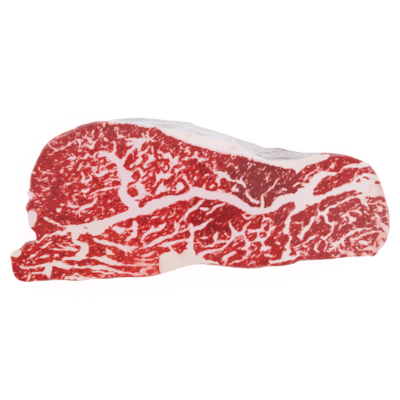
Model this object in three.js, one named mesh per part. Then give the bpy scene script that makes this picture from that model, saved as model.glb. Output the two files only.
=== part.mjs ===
// A raw boneless short rib of heavily marbled beef: one thick slice, cut straight across the meat, lying on
// its lower cut face. The muscle, the seams of fat and the fat cap are grown together, so it is one solid.
// Millimetres. X runs along the slice, +Y points at the fat cap, -Y at the rib side and +Z up, out of the
// upper cut face. The origin is the middle of the slice's bounding box, on the surface that it lies on.
import * as THREE from 'three';

// The slice is this thick at the middle of its fat side, and this much thinner out at the flap's tip.
const THICKNESS = 30;
const FLAP_THINNING = 3.5;
const FLAP_START_X = -10;
const FLAP_TIP_X = -95;

// The cut edges are soft: the face rolls over into the side within this reach and this depth.
const RIM_REACH = 1.5;
const RIM_DEPTH = 2.2;
const FOOT_REACH = 1.3;
const FOOT_DEPTH = 1.8;

// The edge of the upper cut face, clockwise seen from above, starting at the tip of the flap on the left.
// Each point is [x, y, bulge], where bulge is how far the side swells out below it.
const FLAP_AND_NOTCH = [
  [-94.8, -28, 0.5], [-93.4, -25.9, 0.5], [-90, -25.1, 0.4], [-87, -22.1, 0.4], [-82.9, -20.3, 0.4],
  [-82, -18, 0.4], [-83, -16, 0.4], [-85.2, -14.4, 0.4],
];
const TORN_FAT = [
  [-86, -10.8, 0.4], [-86.1, -7.2, 0.4], [-86.7, -4.8, 0.3], [-85, -1.6, 0.4], [-84.6, 0.3, 0.3],
  [-85.5, 1.7, 0.2], [-86.3, 3.1, 0.2], [-85.4, 4.9, 0.4],
];
const SHOULDER = [
  [-85.5, 8, 0.7], [-84.2, 12.3, 0.8], [-81.8, 18, 0.8], [-79.4, 22.8, 0.8], [-76, 27.3, 0.9],
  [-71.8, 30.9, 1], [-66, 33.8, 1.4], [-60.8, 36.3, 1.3], [-55.5, 38.6, 0.7], [-50, 39.3, 0.4],
];
const FAT_CAP = [
  [-43, 38.4, 1.1], [-34, 38.5, 2.1], [-24, 37, 3.1], [-14, 35.5, 3.4], [-4, 33, 4.2], [6, 30.7, 4],
  [16, 28, 3.5], [25, 24.9, 3.3], [33, 21.4, 4], [40, 19.8, 5], [47, 19.9, 3.8], [53, 21.3, 2],
  [59, 22.4, 0.5],
];
const RIGHT_END = [
  [66.5, 23, -0.6], [73.5, 22.3, -0.8], [80, 20, -0.4], [85, 16.9, 0.1], [88.2, 12.8, 0.4],
  [91.2, 6.5, 0.6], [93.4, -0.8, 0.6], [94.7, -8.5, 0.6], [94.5, -15.8, 0.6], [93.2, -19.9, 0.5],
  [90.4, -23.2, 0.4], [88.4, -26.2, 0.4], [86.2, -28.1, 0.4],
];
const RIB_SIDE = [
  [78, -28.7, 0.5], [66, -29.6, 0.6], [53, -30.4, 0.5], [49.6, -31.2, 0.3], [46.5, -32.4, 0.4],
  [36, -33.2, 0.7], [23, -34.1, 0.8], [11, -33, 0.7], [2, -32, 0.6], [-5, -32.4, 0.6],
  [-12, -34.6, 0.7], [-18, -36.5, 0.8], [-25, -38.1, 0.8], [-38, -39, 0.8], [-56, -39.9, 0.8],
  [-75, -40.7, 0.6], [-86, -41.1, 0.5], [-90.4, -39.9, 0.5], [-93, -37.2, 0.5], [-94.3, -33, 0.5],
];
const STEPS_PER_POINT = 3;

// A point's outward direction is measured over this many steps to each side, and where the edge bends
// tightly between them the rim reaches in less.
const DIRECTION_SPAN = 3;
const TIGHT_BEND_POWER = 4;

// Away from the cut face's edge its small notches ease out, averaged over this stretch of the edge.
const EASE_STRETCH = 13;
const SIDE_EASE = 0.45;

// The side wanders in and out by this much, in long shallow waves along the edge and up the side.
const WANDER = 0.7;
const WAVES_ALONG = [5, 11];
const WAVES_UP = [0.6, -1.1];

// Where the side's swelling starts from at the foot, as a share of a half wave that is flat at the top.
const BULGE_START = 0.15;
const SIDE_ROWS = 7;

// The upper face swells over each muscle and dips along the main seam of fat between them.
const MUSCLE_SWELLS = [
  { x: -52, y: 8, reachX: 30, reachY: 22, height: 1.1 },
  { x: -50, y: -30, reachX: 32, reachY: 9, height: 0.5 },
  { x: 18, y: 18, reachX: 34, reachY: 13, height: 0.6 },
  { x: 12, y: -16, reachX: 38, reachY: 13, height: 0.9 },
  { x: 70, y: -14, reachX: 21, reachY: 15, height: 0.8 },
];
const CAP_SLUMP = 1.3;
const CAP_SLUMP_REACH = 9;

// Loose fat that lies lower than the lean beside it: at the torn left edge and on the flap's tip.
const FAT_HOLLOWS = [
  { x: -84.5, y: -9.5, reachX: 3, reachY: 4.2, height: -2.6 },
  { x: -86, y: 3, reachX: 2.2, reachY: 2, height: -1.8 },
  { x: -93, y: -27.6, reachX: 3.4, reachY: 2.4, height: -3 },
];

// The line that the rings of the upper face close in on, from the flap to the right end.
const SPINE = [[-70, -22], [-46, -6], [0, 1], [68, -5]];
const FACE_RINGS = [
  { inward: 0.12, easing: 0.1 },
  { inward: 0.26, easing: 0.6 },
  { inward: 0.52, easing: 1 },
  { inward: 0.8, easing: 1 },
];

function curveThrough(points, closed) {
  const vectors = points.map(([x, y, bulge = 0]) => new THREE.Vector3(x, y, bulge));
  return new THREE.CatmullRomCurve3(vectors, closed, 'centripetal');
}

// The outline as points with their outward direction and their place along the spine.
function sampleOutline() {
  const upper = [...FLAP_AND_NOTCH, ...TORN_FAT, ...SHOULDER, ...FAT_CAP, ...RIGHT_END.slice(0, 8)];
  const all = [...upper, ...RIGHT_END.slice(8), ...RIB_SIDE];
  const count = all.length * STEPS_PER_POINT;
  const curve = curveThrough(all, true);
  const samples = Array.from({ length: count }, (_, i) => curve.getPoint(i / count));
  const lengthTo = [0];
  for (let i = 0; i < count; i += 1) {
    lengthTo.push(lengthTo[i] + samples[i].distanceTo(samples[(i + 1) % count]));
  }
  const turn = (upper.length - 1) * STEPS_PER_POINT;
  return samples.map((point, i) => {
    const before = samples[(i + count - DIRECTION_SPAN) % count];
    const after = samples[(i + DIRECTION_SPAN) % count];
    const outward = new THREE.Vector2(before.y - after.y, after.x - before.x).normalize();
    const arc = before.distanceTo(point) + point.distanceTo(after);
    const openness = (before.distanceTo(after) / arc) ** TIGHT_BEND_POWER;
    const share = i <= turn
      ? lengthTo[i] / lengthTo[turn]
      : 1 - (lengthTo[i] - lengthTo[turn]) / (lengthTo[count] - lengthTo[turn]);
    return { x: point.x, y: point.y, bulge: point.z, outward, openness, share };
  });
}

// The outline with its small notches averaged out.
function easeOutline(outline) {
  const count = outline.length;
  return outline.map((sample, i) => {
    const total = new THREE.Vector3();
    for (const direction of [-1, 1]) {
      let travelled = 0;
      let previous = sample;
      for (let step = 1; travelled < EASE_STRETCH; step += 1) {
        const next = outline[(i + direction * step + count * step) % count];
        const stretch = Math.hypot(next.x - previous.x, next.y - previous.y);
        const weight = stretch * (1 + Math.cos(Math.PI * Math.min(travelled / EASE_STRETCH, 1)));
        total.add(new THREE.Vector3(next.x + previous.x, next.y + previous.y, 2).multiplyScalar(weight));
        travelled += stretch;
        previous = next;
      }
    }
    return { x: total.x / total.z, y: total.y / total.z };
  });
}

// How far the side wanders in at a share of the way round the edge and at a height.
function wanderAt(share, height) {
  const wave = (i) => Math.sin(2 * Math.PI * (WAVES_ALONG[i] * share + WAVES_UP[i] * height / THICKNESS));
  return -WANDER * (2 + wave(0) + wave(1)) / 4;
}

function smoothStep(value, low, high) {
  const t = THREE.MathUtils.clamp((value - low) / (high - low), 0, 1);
  return t * t * (3 - 2 * t);
}

const fatCapEdge = curveThrough(FAT_CAP, false).getPoints(40);

function distanceToCap(x, y) {
  return Math.min(...fatCapEdge.map((point) => Math.hypot(point.x - x, point.y - y)));
}

function thicknessAt(x, y) {
  const thinning = FLAP_THINNING * smoothStep(x, FLAP_START_X, FLAP_TIP_X);
  const swells = [...MUSCLE_SWELLS, ...FAT_HOLLOWS].map(({ x: cx, y: cy, reachX, reachY, height }) => (
    height * Math.exp(-(((x - cx) / reachX) ** 2) - ((y - cy) / reachY) ** 2)
  ));
  const slump = CAP_SLUMP * Math.exp(-((distanceToCap(x, y) / CAP_SLUMP_REACH) ** 2));
  return THICKNESS - thinning - slump + swells.reduce((sum, swell) => sum + swell, 0);
}

// The side from the foot to the rim: how far out each row lies from the outline, and how high.
function sideProfile(bulge, height, openness) {
  const swellAt = (share) => bulge * Math.sin(Math.PI * (BULGE_START + (1 - BULGE_START) * share));
  const rows = [
    [swellAt(0) - FOOT_REACH, 0],
    [swellAt(0.02) - FOOT_REACH * 0.35, FOOT_DEPTH * 0.3],
  ];
  const top = height - RIM_DEPTH;
  for (let row = 0; row < SIDE_ROWS; row += 1) {
    const z = FOOT_DEPTH + (top - FOOT_DEPTH) * (row / (SIDE_ROWS - 1));
    rows.push([swellAt(z / height), z]);
  }
  const reach = RIM_REACH * openness;
  rows.push([swellAt(0.97) - reach * 0.13, height - RIM_DEPTH * 0.5]);
  rows.push([-reach * 0.5, height - RIM_DEPTH * 0.13]);
  rows.push([-reach, height]);
  return rows;
}

function joinRings(triangles, lower, upper, count) {
  for (let i = 0; i < count; i += 1) {
    const next = (i + 1) % count;
    triangles.push(lower + i, upper + i, lower + next);
    triangles.push(lower + next, upper + i, upper + next);
  }
}

// Closes the underside, which is flat.
function capFlatRing(triangles, ring, first) {
  const flat = ring.map(({ x, y }) => new THREE.Vector2(x, y));
  for (const corners of THREE.ShapeUtils.triangulateShape(flat, [])) {
    const [a, b, c] = corners.map((corner) => flat[corner]);
    const facesUp = (b.x - a.x) * (c.y - a.y) - (b.y - a.y) * (c.x - a.x) > 0;
    const ordered = facesUp ? [...corners].reverse() : corners;
    triangles.push(...ordered.map((corner) => first + corner));
  }
}

// Closes the innermost ring of the upper face, from one end to the other between its long sides.
function zipRing(triangles, outline, first) {
  let upper = 0;
  let lower = outline.length - 1;
  while (lower - upper > 1) {
    if (outline[upper + 1].share <= outline[lower - 1].share) {
      triangles.push(first + upper, first + lower, first + upper + 1);
      upper += 1;
    } else {
      triangles.push(first + upper, first + lower, first + lower - 1);
      lower -= 1;
    }
  }
}

function makeSlice() {
  const outline = sampleOutline();
  const count = outline.length;
  const eased = easeOutline(outline);
  const profiles = outline.map(({ x, y, bulge, openness }) => (
    sideProfile(bulge, thicknessAt(x, y), openness)
  ));
  const rings = profiles[0].map((_, row) => outline.map(({ x, y, outward }, i) => {
    const [out, z] = profiles[i][row];
    const depth = 1 - smoothStep(z / THICKNESS, 0.3, 0.95);
    const offset = out + depth * wanderAt(i / count, z);
    const share = SIDE_EASE * depth;
    return {
      x: THREE.MathUtils.lerp(x, eased[i].x, share) + outward.x * offset,
      y: THREE.MathUtils.lerp(y, eased[i].y, share) + outward.y * offset,
      z,
    };
  }));

  const spine = curveThrough(SPINE, false);
  const rim = rings[rings.length - 1];
  for (const { inward, easing } of FACE_RINGS) {
    rings.push(rim.map((point, i) => {
      const target = spine.getPoint(outline[i].share);
      const fromX = THREE.MathUtils.lerp(point.x, eased[i].x, easing);
      const fromY = THREE.MathUtils.lerp(point.y, eased[i].y, easing);
      const x = THREE.MathUtils.lerp(fromX, target.x, inward);
      const y = THREE.MathUtils.lerp(fromY, target.y, inward);
      return { x, y, z: thicknessAt(x, y) };
    }));
  }

  const triangles = [];
  for (let ring = 0; ring + 1 < rings.length; ring += 1) {
    joinRings(triangles, ring * count, (ring + 1) * count, count);
  }
  capFlatRing(triangles, rings[0], 0);
  zipRing(triangles, outline, (rings.length - 1) * count);

  const geometry = new THREE.BufferGeometry();
  const positions = rings.flat().flatMap(({ x, y, z }) => [x, y, z]);
  geometry.setAttribute('position', new THREE.Float32BufferAttribute(positions, 3));
  geometry.setIndex(triangles);
  geometry.computeBoundingBox();
  const middle = geometry.boundingBox.getCenter(new THREE.Vector3());
  geometry.translate(-middle.x, -middle.y, 0);
  geometry.computeVertexNormals();
  return geometry;
}

const marbledBeef = new THREE.MeshStandardMaterial({ color: 0xc25a5c, roughness: 0.45, metalness: 0 });

const shortRib = new THREE.Mesh(makeSlice(), marbledBeef);
shortRib.name = 'short_rib';

const group = new THREE.Group();
group.add(shortRib);

export default group;
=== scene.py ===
import math

import bmesh
import bpy
import numpy as np
from mathutils import Matrix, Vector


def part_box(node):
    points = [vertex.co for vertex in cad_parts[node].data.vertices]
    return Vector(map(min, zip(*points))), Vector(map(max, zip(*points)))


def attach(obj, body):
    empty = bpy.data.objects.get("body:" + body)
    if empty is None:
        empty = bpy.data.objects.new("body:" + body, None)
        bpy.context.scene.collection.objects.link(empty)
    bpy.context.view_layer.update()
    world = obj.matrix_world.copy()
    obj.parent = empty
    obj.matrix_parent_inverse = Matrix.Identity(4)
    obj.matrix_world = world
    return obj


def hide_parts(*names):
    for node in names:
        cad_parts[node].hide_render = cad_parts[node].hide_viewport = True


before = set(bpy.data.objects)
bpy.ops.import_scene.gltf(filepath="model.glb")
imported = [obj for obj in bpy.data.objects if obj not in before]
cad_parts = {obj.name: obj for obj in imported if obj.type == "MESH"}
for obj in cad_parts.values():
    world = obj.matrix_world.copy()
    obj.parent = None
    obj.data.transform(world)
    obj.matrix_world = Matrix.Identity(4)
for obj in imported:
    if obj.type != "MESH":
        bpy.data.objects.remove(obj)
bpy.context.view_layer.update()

# The slice of short rib
# One slab of raw beef about 30 mm thick, cut straight across the meat with a long knife. Muscles, seams of
# fat and fat cap are grown together, so it is one closed body. Its cut faces are nearly flat, its edges soft.
MM = 0.001
SAME_PLACE = 0.002 * MM
BODY_GRAIN = 0.9 * MM
FACE_UP = 0.9
FACE_DEPTH = 6 * MM
SMOOTHINGS = 4


def finished_mesh(piece):
    """The piece's mesh with its modifiers worked in."""
    bpy.context.view_layer.update()
    return bpy.data.meshes.new_from_object(piece.evaluated_get(bpy.context.evaluated_depsgraph_get()))


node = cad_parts["short_rib"]
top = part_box("short_rib")[1].z

shape = bmesh.new()
shape.from_mesh(node.data)
bmesh.ops.remove_doubles(shape, verts=shape.verts, dist=SAME_PLACE)
bmesh.ops.join_triangles(shape, faces=shape.faces, angle_face_threshold=0.3, angle_shape_threshold=1.2)
rough = bpy.data.meshes.new("rough_slice")
shape.to_mesh(rough)
shape.free()

slab = bpy.data.objects.new("rough_slice", rough)
bpy.context.scene.collection.objects.link(slab)
rounding = slab.modifiers.new("rounding", "SUBSURF")
rounding.levels = rounding.render_levels = 1
regrained = slab.modifiers.new("even_grain", "REMESH")
regrained.mode = "VOXEL"
regrained.voxel_size = BODY_GRAIN
even = finished_mesh(slab)
bpy.data.objects.remove(slab)

# The face that shows its marbling takes twice as fine a mesh as the sides and the underside.
shape = bmesh.new()
shape.from_mesh(even)
shape.normal_update()
upper = {
    face for face in shape.faces
    if face.normal.z > FACE_UP and face.calc_center_median().z > top - FACE_DEPTH
}
upper_edges = list({edge for face in upper for edge in face.edges})
bmesh.ops.subdivide_edges(shape, edges=upper_edges, cuts=1, use_grid_fill=True)
for _ in range(SMOOTHINGS):
    bmesh.ops.smooth_vert(
        shape, verts=shape.verts, factor=0.5, use_axis_x=True, use_axis_y=True, use_axis_z=True)
beef = bpy.data.meshes.new("short_rib_meat")
shape.to_mesh(beef)
shape.free()

# The muscles
# Each muscle is packed from bundles of fibre that the cut shows end on. Fat grows in between them: as short
# flecks where a muscle is lean, as mortar between cobbles of lean where it is rich, as streaks in the flap.
CELL = 0.25
HALF_X, HALF_Y = 104.0, 50.0
MARGIN = 8
SWELL = 2.1
HOLD = 2.5
SOFTER_HOLD = 0.3
column_x = np.arange(-HALF_X, HALF_X, CELL) + CELL / 2
row_y = np.arange(-HALF_Y, HALF_Y, CELL) + CELL / 2
face_x, face_y = np.meshgrid(column_x, row_y)

# Centre x and y and reach in x and y (mm), and the lie of the bundles (degrees). Then how much fat of each
# kind the muscle has, mostly from 0 to 1: flecks, fat round small cobbles of lean, round large ones and round
# long ones. Last the tone of its lean, from about -1 for dark to 1 for bright, and how dull that is.
MUSCLES = [
    (-78, 8, 12, 24, 18, .45, .3, .2, 0, -.1, .5),
    (-63, 8, 9, 22, 28, .55, .45, .3, 0, -.1, .35),
    (-50, 10, 9, 20, 32, .60, .5, .4, 0, 0, .1),
    (-72, -11, 12, 6, -15, .35, .2, 0, 0, .1, .1),
    (-60, 34, 20, 6, 55, .45, .4, .2, 0, .1, 1),
    (-30, 34, 20, 5, 55, .45, .4, .2, 0, 0, 1),
    (-26, 18, 14, 13, 50, .30, 1.3, 1.2, 0, .1, .1),
    (-11, 14, 7, 9, 50, .35, 1.1, 1.1, 0, 0, .1),
    (3, 14, 8, 7, 40, .30, .4, .3, 0, -.3, .1),
    (8, 7, 5, 4, 40, .30, .8, .8, 0, -.1, 0),
    (-8, 26, 10, 4, 50, .45, .4, .2, 0, -.1, .5),
    (12, 22, 8, 4, 60, .35, .3, .2, 0, -.2, .6),
    (34, 12, 16, 9, 60, -.05, 0, 0, 0, -.9, .7),
    (60, 14, 14, 8, 40, .45, .5, .4, 0, 0, .5),
    (-22, -10, 14, 8, 32, .50, .2, .2, 0, 0, 0),
    (-25, -22, 12, 8, 25, .50, .3, .2, 0, .3, 0),
    (8, -12, 12, 9, 38, .22, 0, 0, 0, -.6, 0),
    (8, -28, 10, 5, 25, .52, .2, .2, 0, .3, .3),
    (26, -22, 12, 10, 40, .42, .3, .3, 0, -.1, .2),
    (-75, -28, 22, 8, 14, .34, 0, 0, .1, .2, 0),
    (-45, -20, 12, 8, 20, .28, .1, 0, 0, .6, 0),
    (-48, -33, 20, 6, 4, .22, 0, 0, 0, .45, 0),
    (-26, -31, 6, 6, 2, .80, .1, 0, 0, 1.1, 0),
    (56, -16, 12, 12, 40, .44, .35, .3, 0, -.1, .6),
    (76, -10, 14, 10, 30, .50, .4, .3, 0, .3, 1),
    (80, -24, 18, 5, 22, .64, .8, .4, .2, .6, .85),
    (92, -6, 4, 16, 10, .60, .8, .8, .4, .7, 1.3),
]


def soft_noise(seed, spacing, x=face_x, y=face_y):
    """Smooth random swells with hills about two spacings apart, mostly between -2 and 2.

    The shares of the heights around a place add up to 6 in each direction.
    """
    columns, rows = int(2 * HALF_X / spacing) + 6, int(2 * HALF_Y / spacing) + 6
    heights = np.random.default_rng(seed).normal(0, 1, (rows, columns))
    across, up = (x + HALF_X) / spacing + 1, (y + HALF_Y) / spacing + 1
    column = np.clip(across.astype(int), 1, columns - 3)
    row = np.clip(up.astype(int), 1, rows - 3)

    def shares(t):
        return [(1 - t) ** 3, 3 * t ** 3 - 6 * t ** 2 + 4, -3 * t ** 3 + 3 * t ** 2 + 3 * t + 1, t ** 3]
    wide, tall = shares(across - column), shares(up - row)
    total = sum(tall[j] * wide[i] * heights[row - 1 + j, column - 1 + i] for j in range(4) for i in range(4))
    return total / 6 ** 2 * SWELL


# The pull of each muscle on a place falls off with the distance, and all of them add up to 1. The tone of the
# lean passes more softly from one muscle to the next than its fat does.
pull = np.array([
    np.exp(-HOLD * np.minimum(((face_x - x) / reach_x) ** 2 + ((face_y - y) / reach_y) ** 2, 60)) + 1e-20
    for x, y, reach_x, reach_y, *_ in MUSCLES
])
pull /= pull.sum(axis=0)
kinds = np.array([row[4:] for row in MUSCLES], float)
lie = np.radians(np.tensordot(kinds[:, 0], pull, 1))
amounts = [np.tensordot(kinds[:, i], pull, 1) for i in range(1, 5)]
softer = pull ** SOFTER_HOLD / (pull ** SOFTER_HOLD).sum(axis=0)
amounts += [np.tensordot(kinds[:, i], softer, 1) for i in (5, 6)]


def following(slope_x, slope_y):
    """A smooth height over the face whose slopes follow the wanted ones as nearly as any height can."""
    inland = np.clip((HALF_X - np.abs(face_x)) / MARGIN, 0, 1)
    inland = inland * np.clip((HALF_Y - np.abs(face_y)) / MARGIN, 0, 1)
    mean_x, mean_y = slope_x.mean(), slope_y.mean()
    wave_x = np.fft.fftfreq(len(column_x), CELL)[None, :]
    wave_y = np.fft.fftfreq(len(row_y), CELL)[:, None]
    slopes = wave_x * np.fft.fft2((slope_x - mean_x) * inland)
    slopes = slopes + wave_y * np.fft.fft2((slope_y - mean_y) * inland)
    heights = slopes / (2j * np.pi * np.maximum(wave_x ** 2 + wave_y ** 2, 1e-9))
    heights[0, 0] = 0
    return np.fft.ifft2(heights).real + mean_x * face_x + mean_y * face_y


along_bundles = following(np.cos(lie), np.sin(lie))
across_bundles = following(-np.sin(lie), np.cos(lie))

# The seams of fat
# Sheets of fat part one muscle from the next and the cut shows them as pale bands. The widest runs the whole
# length between the two rows of muscles. Each is a run of x, y and width (mm) along the middle of the band.
MAIN_SEAM = [
    [(-84.3, -23.8, .4), (-83.3, -23.2, .6), (-81.9, -22, .8), (-80.3, -21.4, 1.1), (-79.2, -20.3, .9),
     (-78.2, -19.2, 1.1), (-75.8, -18.2, 1), (-74, -17.6, 1.2), (-72, -16.8, 1.3), (-70, -16.4, 1.8),
     (-68, -16.8, 2.2), (-66, -15.6, 2.2), (-63.5, -14.8, 3.4), (-60, -14.7, 4.4), (-55.5, -14.5, 6),
     (-51, -13.8, 7.2), (-48, -12.4, 6.4), (-44, -10.4, 4.6), (-40, -8.6, 4.2), (-36, -6.9, 4.8),
     (-33, -5.4, 5.5), (-30, -5.4, 4.6), (-27, -4.6, 5.4), (-24, -2.5, 5.8), (-20, -1.5, 5.2), (-16, 0, 4.8),
     (-10, 2.2, 3.8), (-6, 3.5, 4.2), (-3, 4.7, 4.8), (0, 4.4, 5), (4, 3, 4.4), (8, 2.8, 4.6), (12, 2.2, 4.8),
     (15, 1, 4.8), (18, -0.5, 4.6), (21, -2, 4.4), (24, -4, 4.2), (27, -5.2, 4), (30, -4.8, 4.6),
     (33.5, -4.6, 3), (37, -3, 4), (40, 0, 5), (45, 1.5, 4.4), (50, 1, 7), (55, 2, 8)],
    [(55, 1.5, 5), (59, 0.6, 3.6), (63, 3.2, 3.4), (67, 4.8, 3.4), (72, 6.4, 3.8), (79, 7.6, 4.6), (87, 6, 9),
     (91, 4.5, 5)],
    [(52, 5, 6), (56, 8.5, 4.4), (59.5, 12, 4), (62, 13.4, 3.4), (65, 13.8, 2), (69.2, 13.6, 1.2),
     (70.6, 14.8, 1.1), (71.4, 16.3, 1.2), (73.5, 17.2, 1.8), (77, 17.6, 2.2), (80, 17.8, 3), (83, 18.3, 4)],
    [(79, 10, 5), (84, 10, 8), (88, 8, 10), (90.5, 5, 8)],
    [(-78.8, -8.4, .8), (-77.4, -9, 1.1), (-75.7, -10.7, 1), (-73.5, -11.2, 1.3), (-72.3, -11.5, 1),
     (-71, -12.1, .8), (-69.6, -12.9, .9), (-67.6, -13.4, .9), (-65.7, -13.6, 1), (-63, -14, 2.4)],
]
UPRIGHT_BRANCH = [
    [(-47, 30.3, 1.8), (-45, 29.4, .7), (-43, 29.4, 1), (-42.8, 26, 1.5), (-43.5, 23.5, 2.4)],
    [(-50, 24.3, 1.6), (-47, 23.3, 3), (-44, 22, 3.8), (-41.2, 20, 4)],
    [(-41, 36.5, .6), (-41.5, 34, 1), (-40.8, 32.4, 1.6), (-39, 32, 1.8), (-36.5, 30.6, 1.2), (-33, 30.6, 2),
     (-31, 29.6, 2.8), (-28, 30.8, 1.8), (-25, 30.5, 1.2), (-23, 32, .9), (-22, 33.4, .6)],
    [(-28, 32, 1.2), (-28.5, 33.4, .6)],
    [(-36, 28.9, 1.6), (-33, 28, 3), (-31.5, 26.5, 3.4), (-34, 25.8, 2.4), (-36.5, 24, 2.4), (-38, 22, 2.8),
     (-40, 19.8, 4)],
    [(-40.5, 19.5, 4), (-40, 17, 3), (-38.6, 14.5, 4.2), (-37.4, 12.5, 4.8), (-37.2, 10, 4.6), (-38, 7, 4),
     (-38.6, 5, 5), (-38, 2.5, 5), (-36.5, 0.3, 5), (-34.5, -1.5, 5), (-31.5, -2.8, 5)],
]
DARK_MUSCLE_SEAMS = [
    [(-8.8, 20.4, .8), (-7.4, 21.5, 1.2), (-5.4, 21.6, 1.5), (-3.4, 21.8, 2), (-2.2, 22.8, 2.4),
     (-1.8, 24.4, 1.4)],
    [(-2.4, 22, 2.2), (-1.4, 21.2, 2.2), (0.4, 20.7, 2), (2, 21, 1.4), (3, 20.2, 1), (4.2, 21.2, .7)],
    [(-7.4, 25.9, .6), (-6, 27, 1)],
    [(-7.6, 24.6, .6), (-5.6, 25.2, .8)],
    [(2, 22.4, .5), (3.4, 23.6, .9)],
    [(6.6, 22, .6), (8.6, 22.8, .7)],
    [(-3.6, 19.9, 1), (-3.4, 20, 1)],
    [(-3.3, 17.2, 1.2), (-3, 17.3, 1.1)],
    [(-1.7, 17.8, 1), (-1.4, 17.7, .9)],
    [(-8.8, 16.6, 1.8), (-7.5, 17.6, 1.4)],
    [(-6.6, 15.6, 1.6), (-5.3, 16, 1.4)],
    [(-4.9, 12.2, 1.1), (-2.9, 13.6, 1)],
    [(-2, 12.9, .9), (-0.5, 13.8, 1)],
    [(-2.6, 11, 1.6), (-2, 11.4, 1.6)],
    [(1.4, 12.4, 1.5), (3.2, 12.8, 1.3), (5, 13.2, .9)],
    [(2.8, 16.6, .9), (3.6, 17.8, .7)],
    [(3, 18.6, .7), (4.6, 18, .8), (5.4, 16.4, 1), (5.6, 14.4, 1.4), (8, 14.2, 1.8), (10.4, 13.2, 3),
     (13, 12.2, 2.8), (15, 10.6, 1.6), (17.5, 10, 1.3), (19.8, 9.8, 2), (21.5, 9, 1.9), (22.5, 7.5, 1.2),
     (23, 5.5, 1), (23.8, 3, 1.5), (25.5, 1, 1.6), (28.3, -0.6, 1.8)],
    [(12.4, 13.4, 1.8), (13.2, 15.4, .6)],
    [(9.5, 12, 2.2), (8.7, 10.4, 2.4), (9.5, 8.4, 1.8), (9.4, 6, 2.2), (9.4, 4, 2.6)],
    [(17.4, 7.6, 1), (16.6, 5.4, 2), (18.7, 5.8, 1.4), (18.8, 4.8, .9)],
    [(20.2, 10.2, 1.7), (20.8, 12, 1.1), (22.6, 14, .6)],
    [(23.5, 15.4, .5), (25, 17.4, .6), (26.6, 18.9, .4)],
    [(13.4, 17, .4), (15, 18, .7), (16, 18.5, .7), (17, 17.3, .7), (18.3, 16.4, 1.0), (19, 17.6, .4)],
    [(16, 18.5, .6), (16.5, 20.5, .5), (16, 22.6, .4)],
    [(31.2, -2.5, 2.1), (31, 1, 1.3), (31.6, 3.4, .8), (33.5, 5, .8), (35.5, 6.6, .8), (37, 8.3, .9),
     (38.6, 8.8, .7), (40, 8.5, .5)],
    [(37.4, 8.8, .6), (38.5, 10.3, .6), (39.8, 11.6, .4)],
    [(33, 10, .5), (33.5, 12, .6), (34.5, 13.5, .6), (35.2, 14.2, .4)],
    [(41, 12.2, .6), (41.3, 13.8, .8), (41.7, 14.6, .4)],
    [(41.8, 9, .5), (43, 10.5, .6), (43.6, 11.2, .4)],
    [(44, 13, .4), (44.6, 14.6, .5), (45, 15.4, .4)],
    [(31.4, 15.5, .4), (33.2, 17.2, .5)],
    [(36.6, 1, .5), (38, 2.8, .6), (40, 4.6, .7), (41.2, 5.8, 1.2), (42.6, 5.6, 1.3)],
    [(46.4, 7, .5), (48, 8, .7), (50, 8.8, .8), (52.2, 8.6, 1.3)],
    [(51.6, 10.6, .8), (53, 11.4, 1.3), (54, 12.8, 1.2), (56, 13.8, .8), (58, 15, 1.0), (59.6, 16.9, .6)],
]
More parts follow.
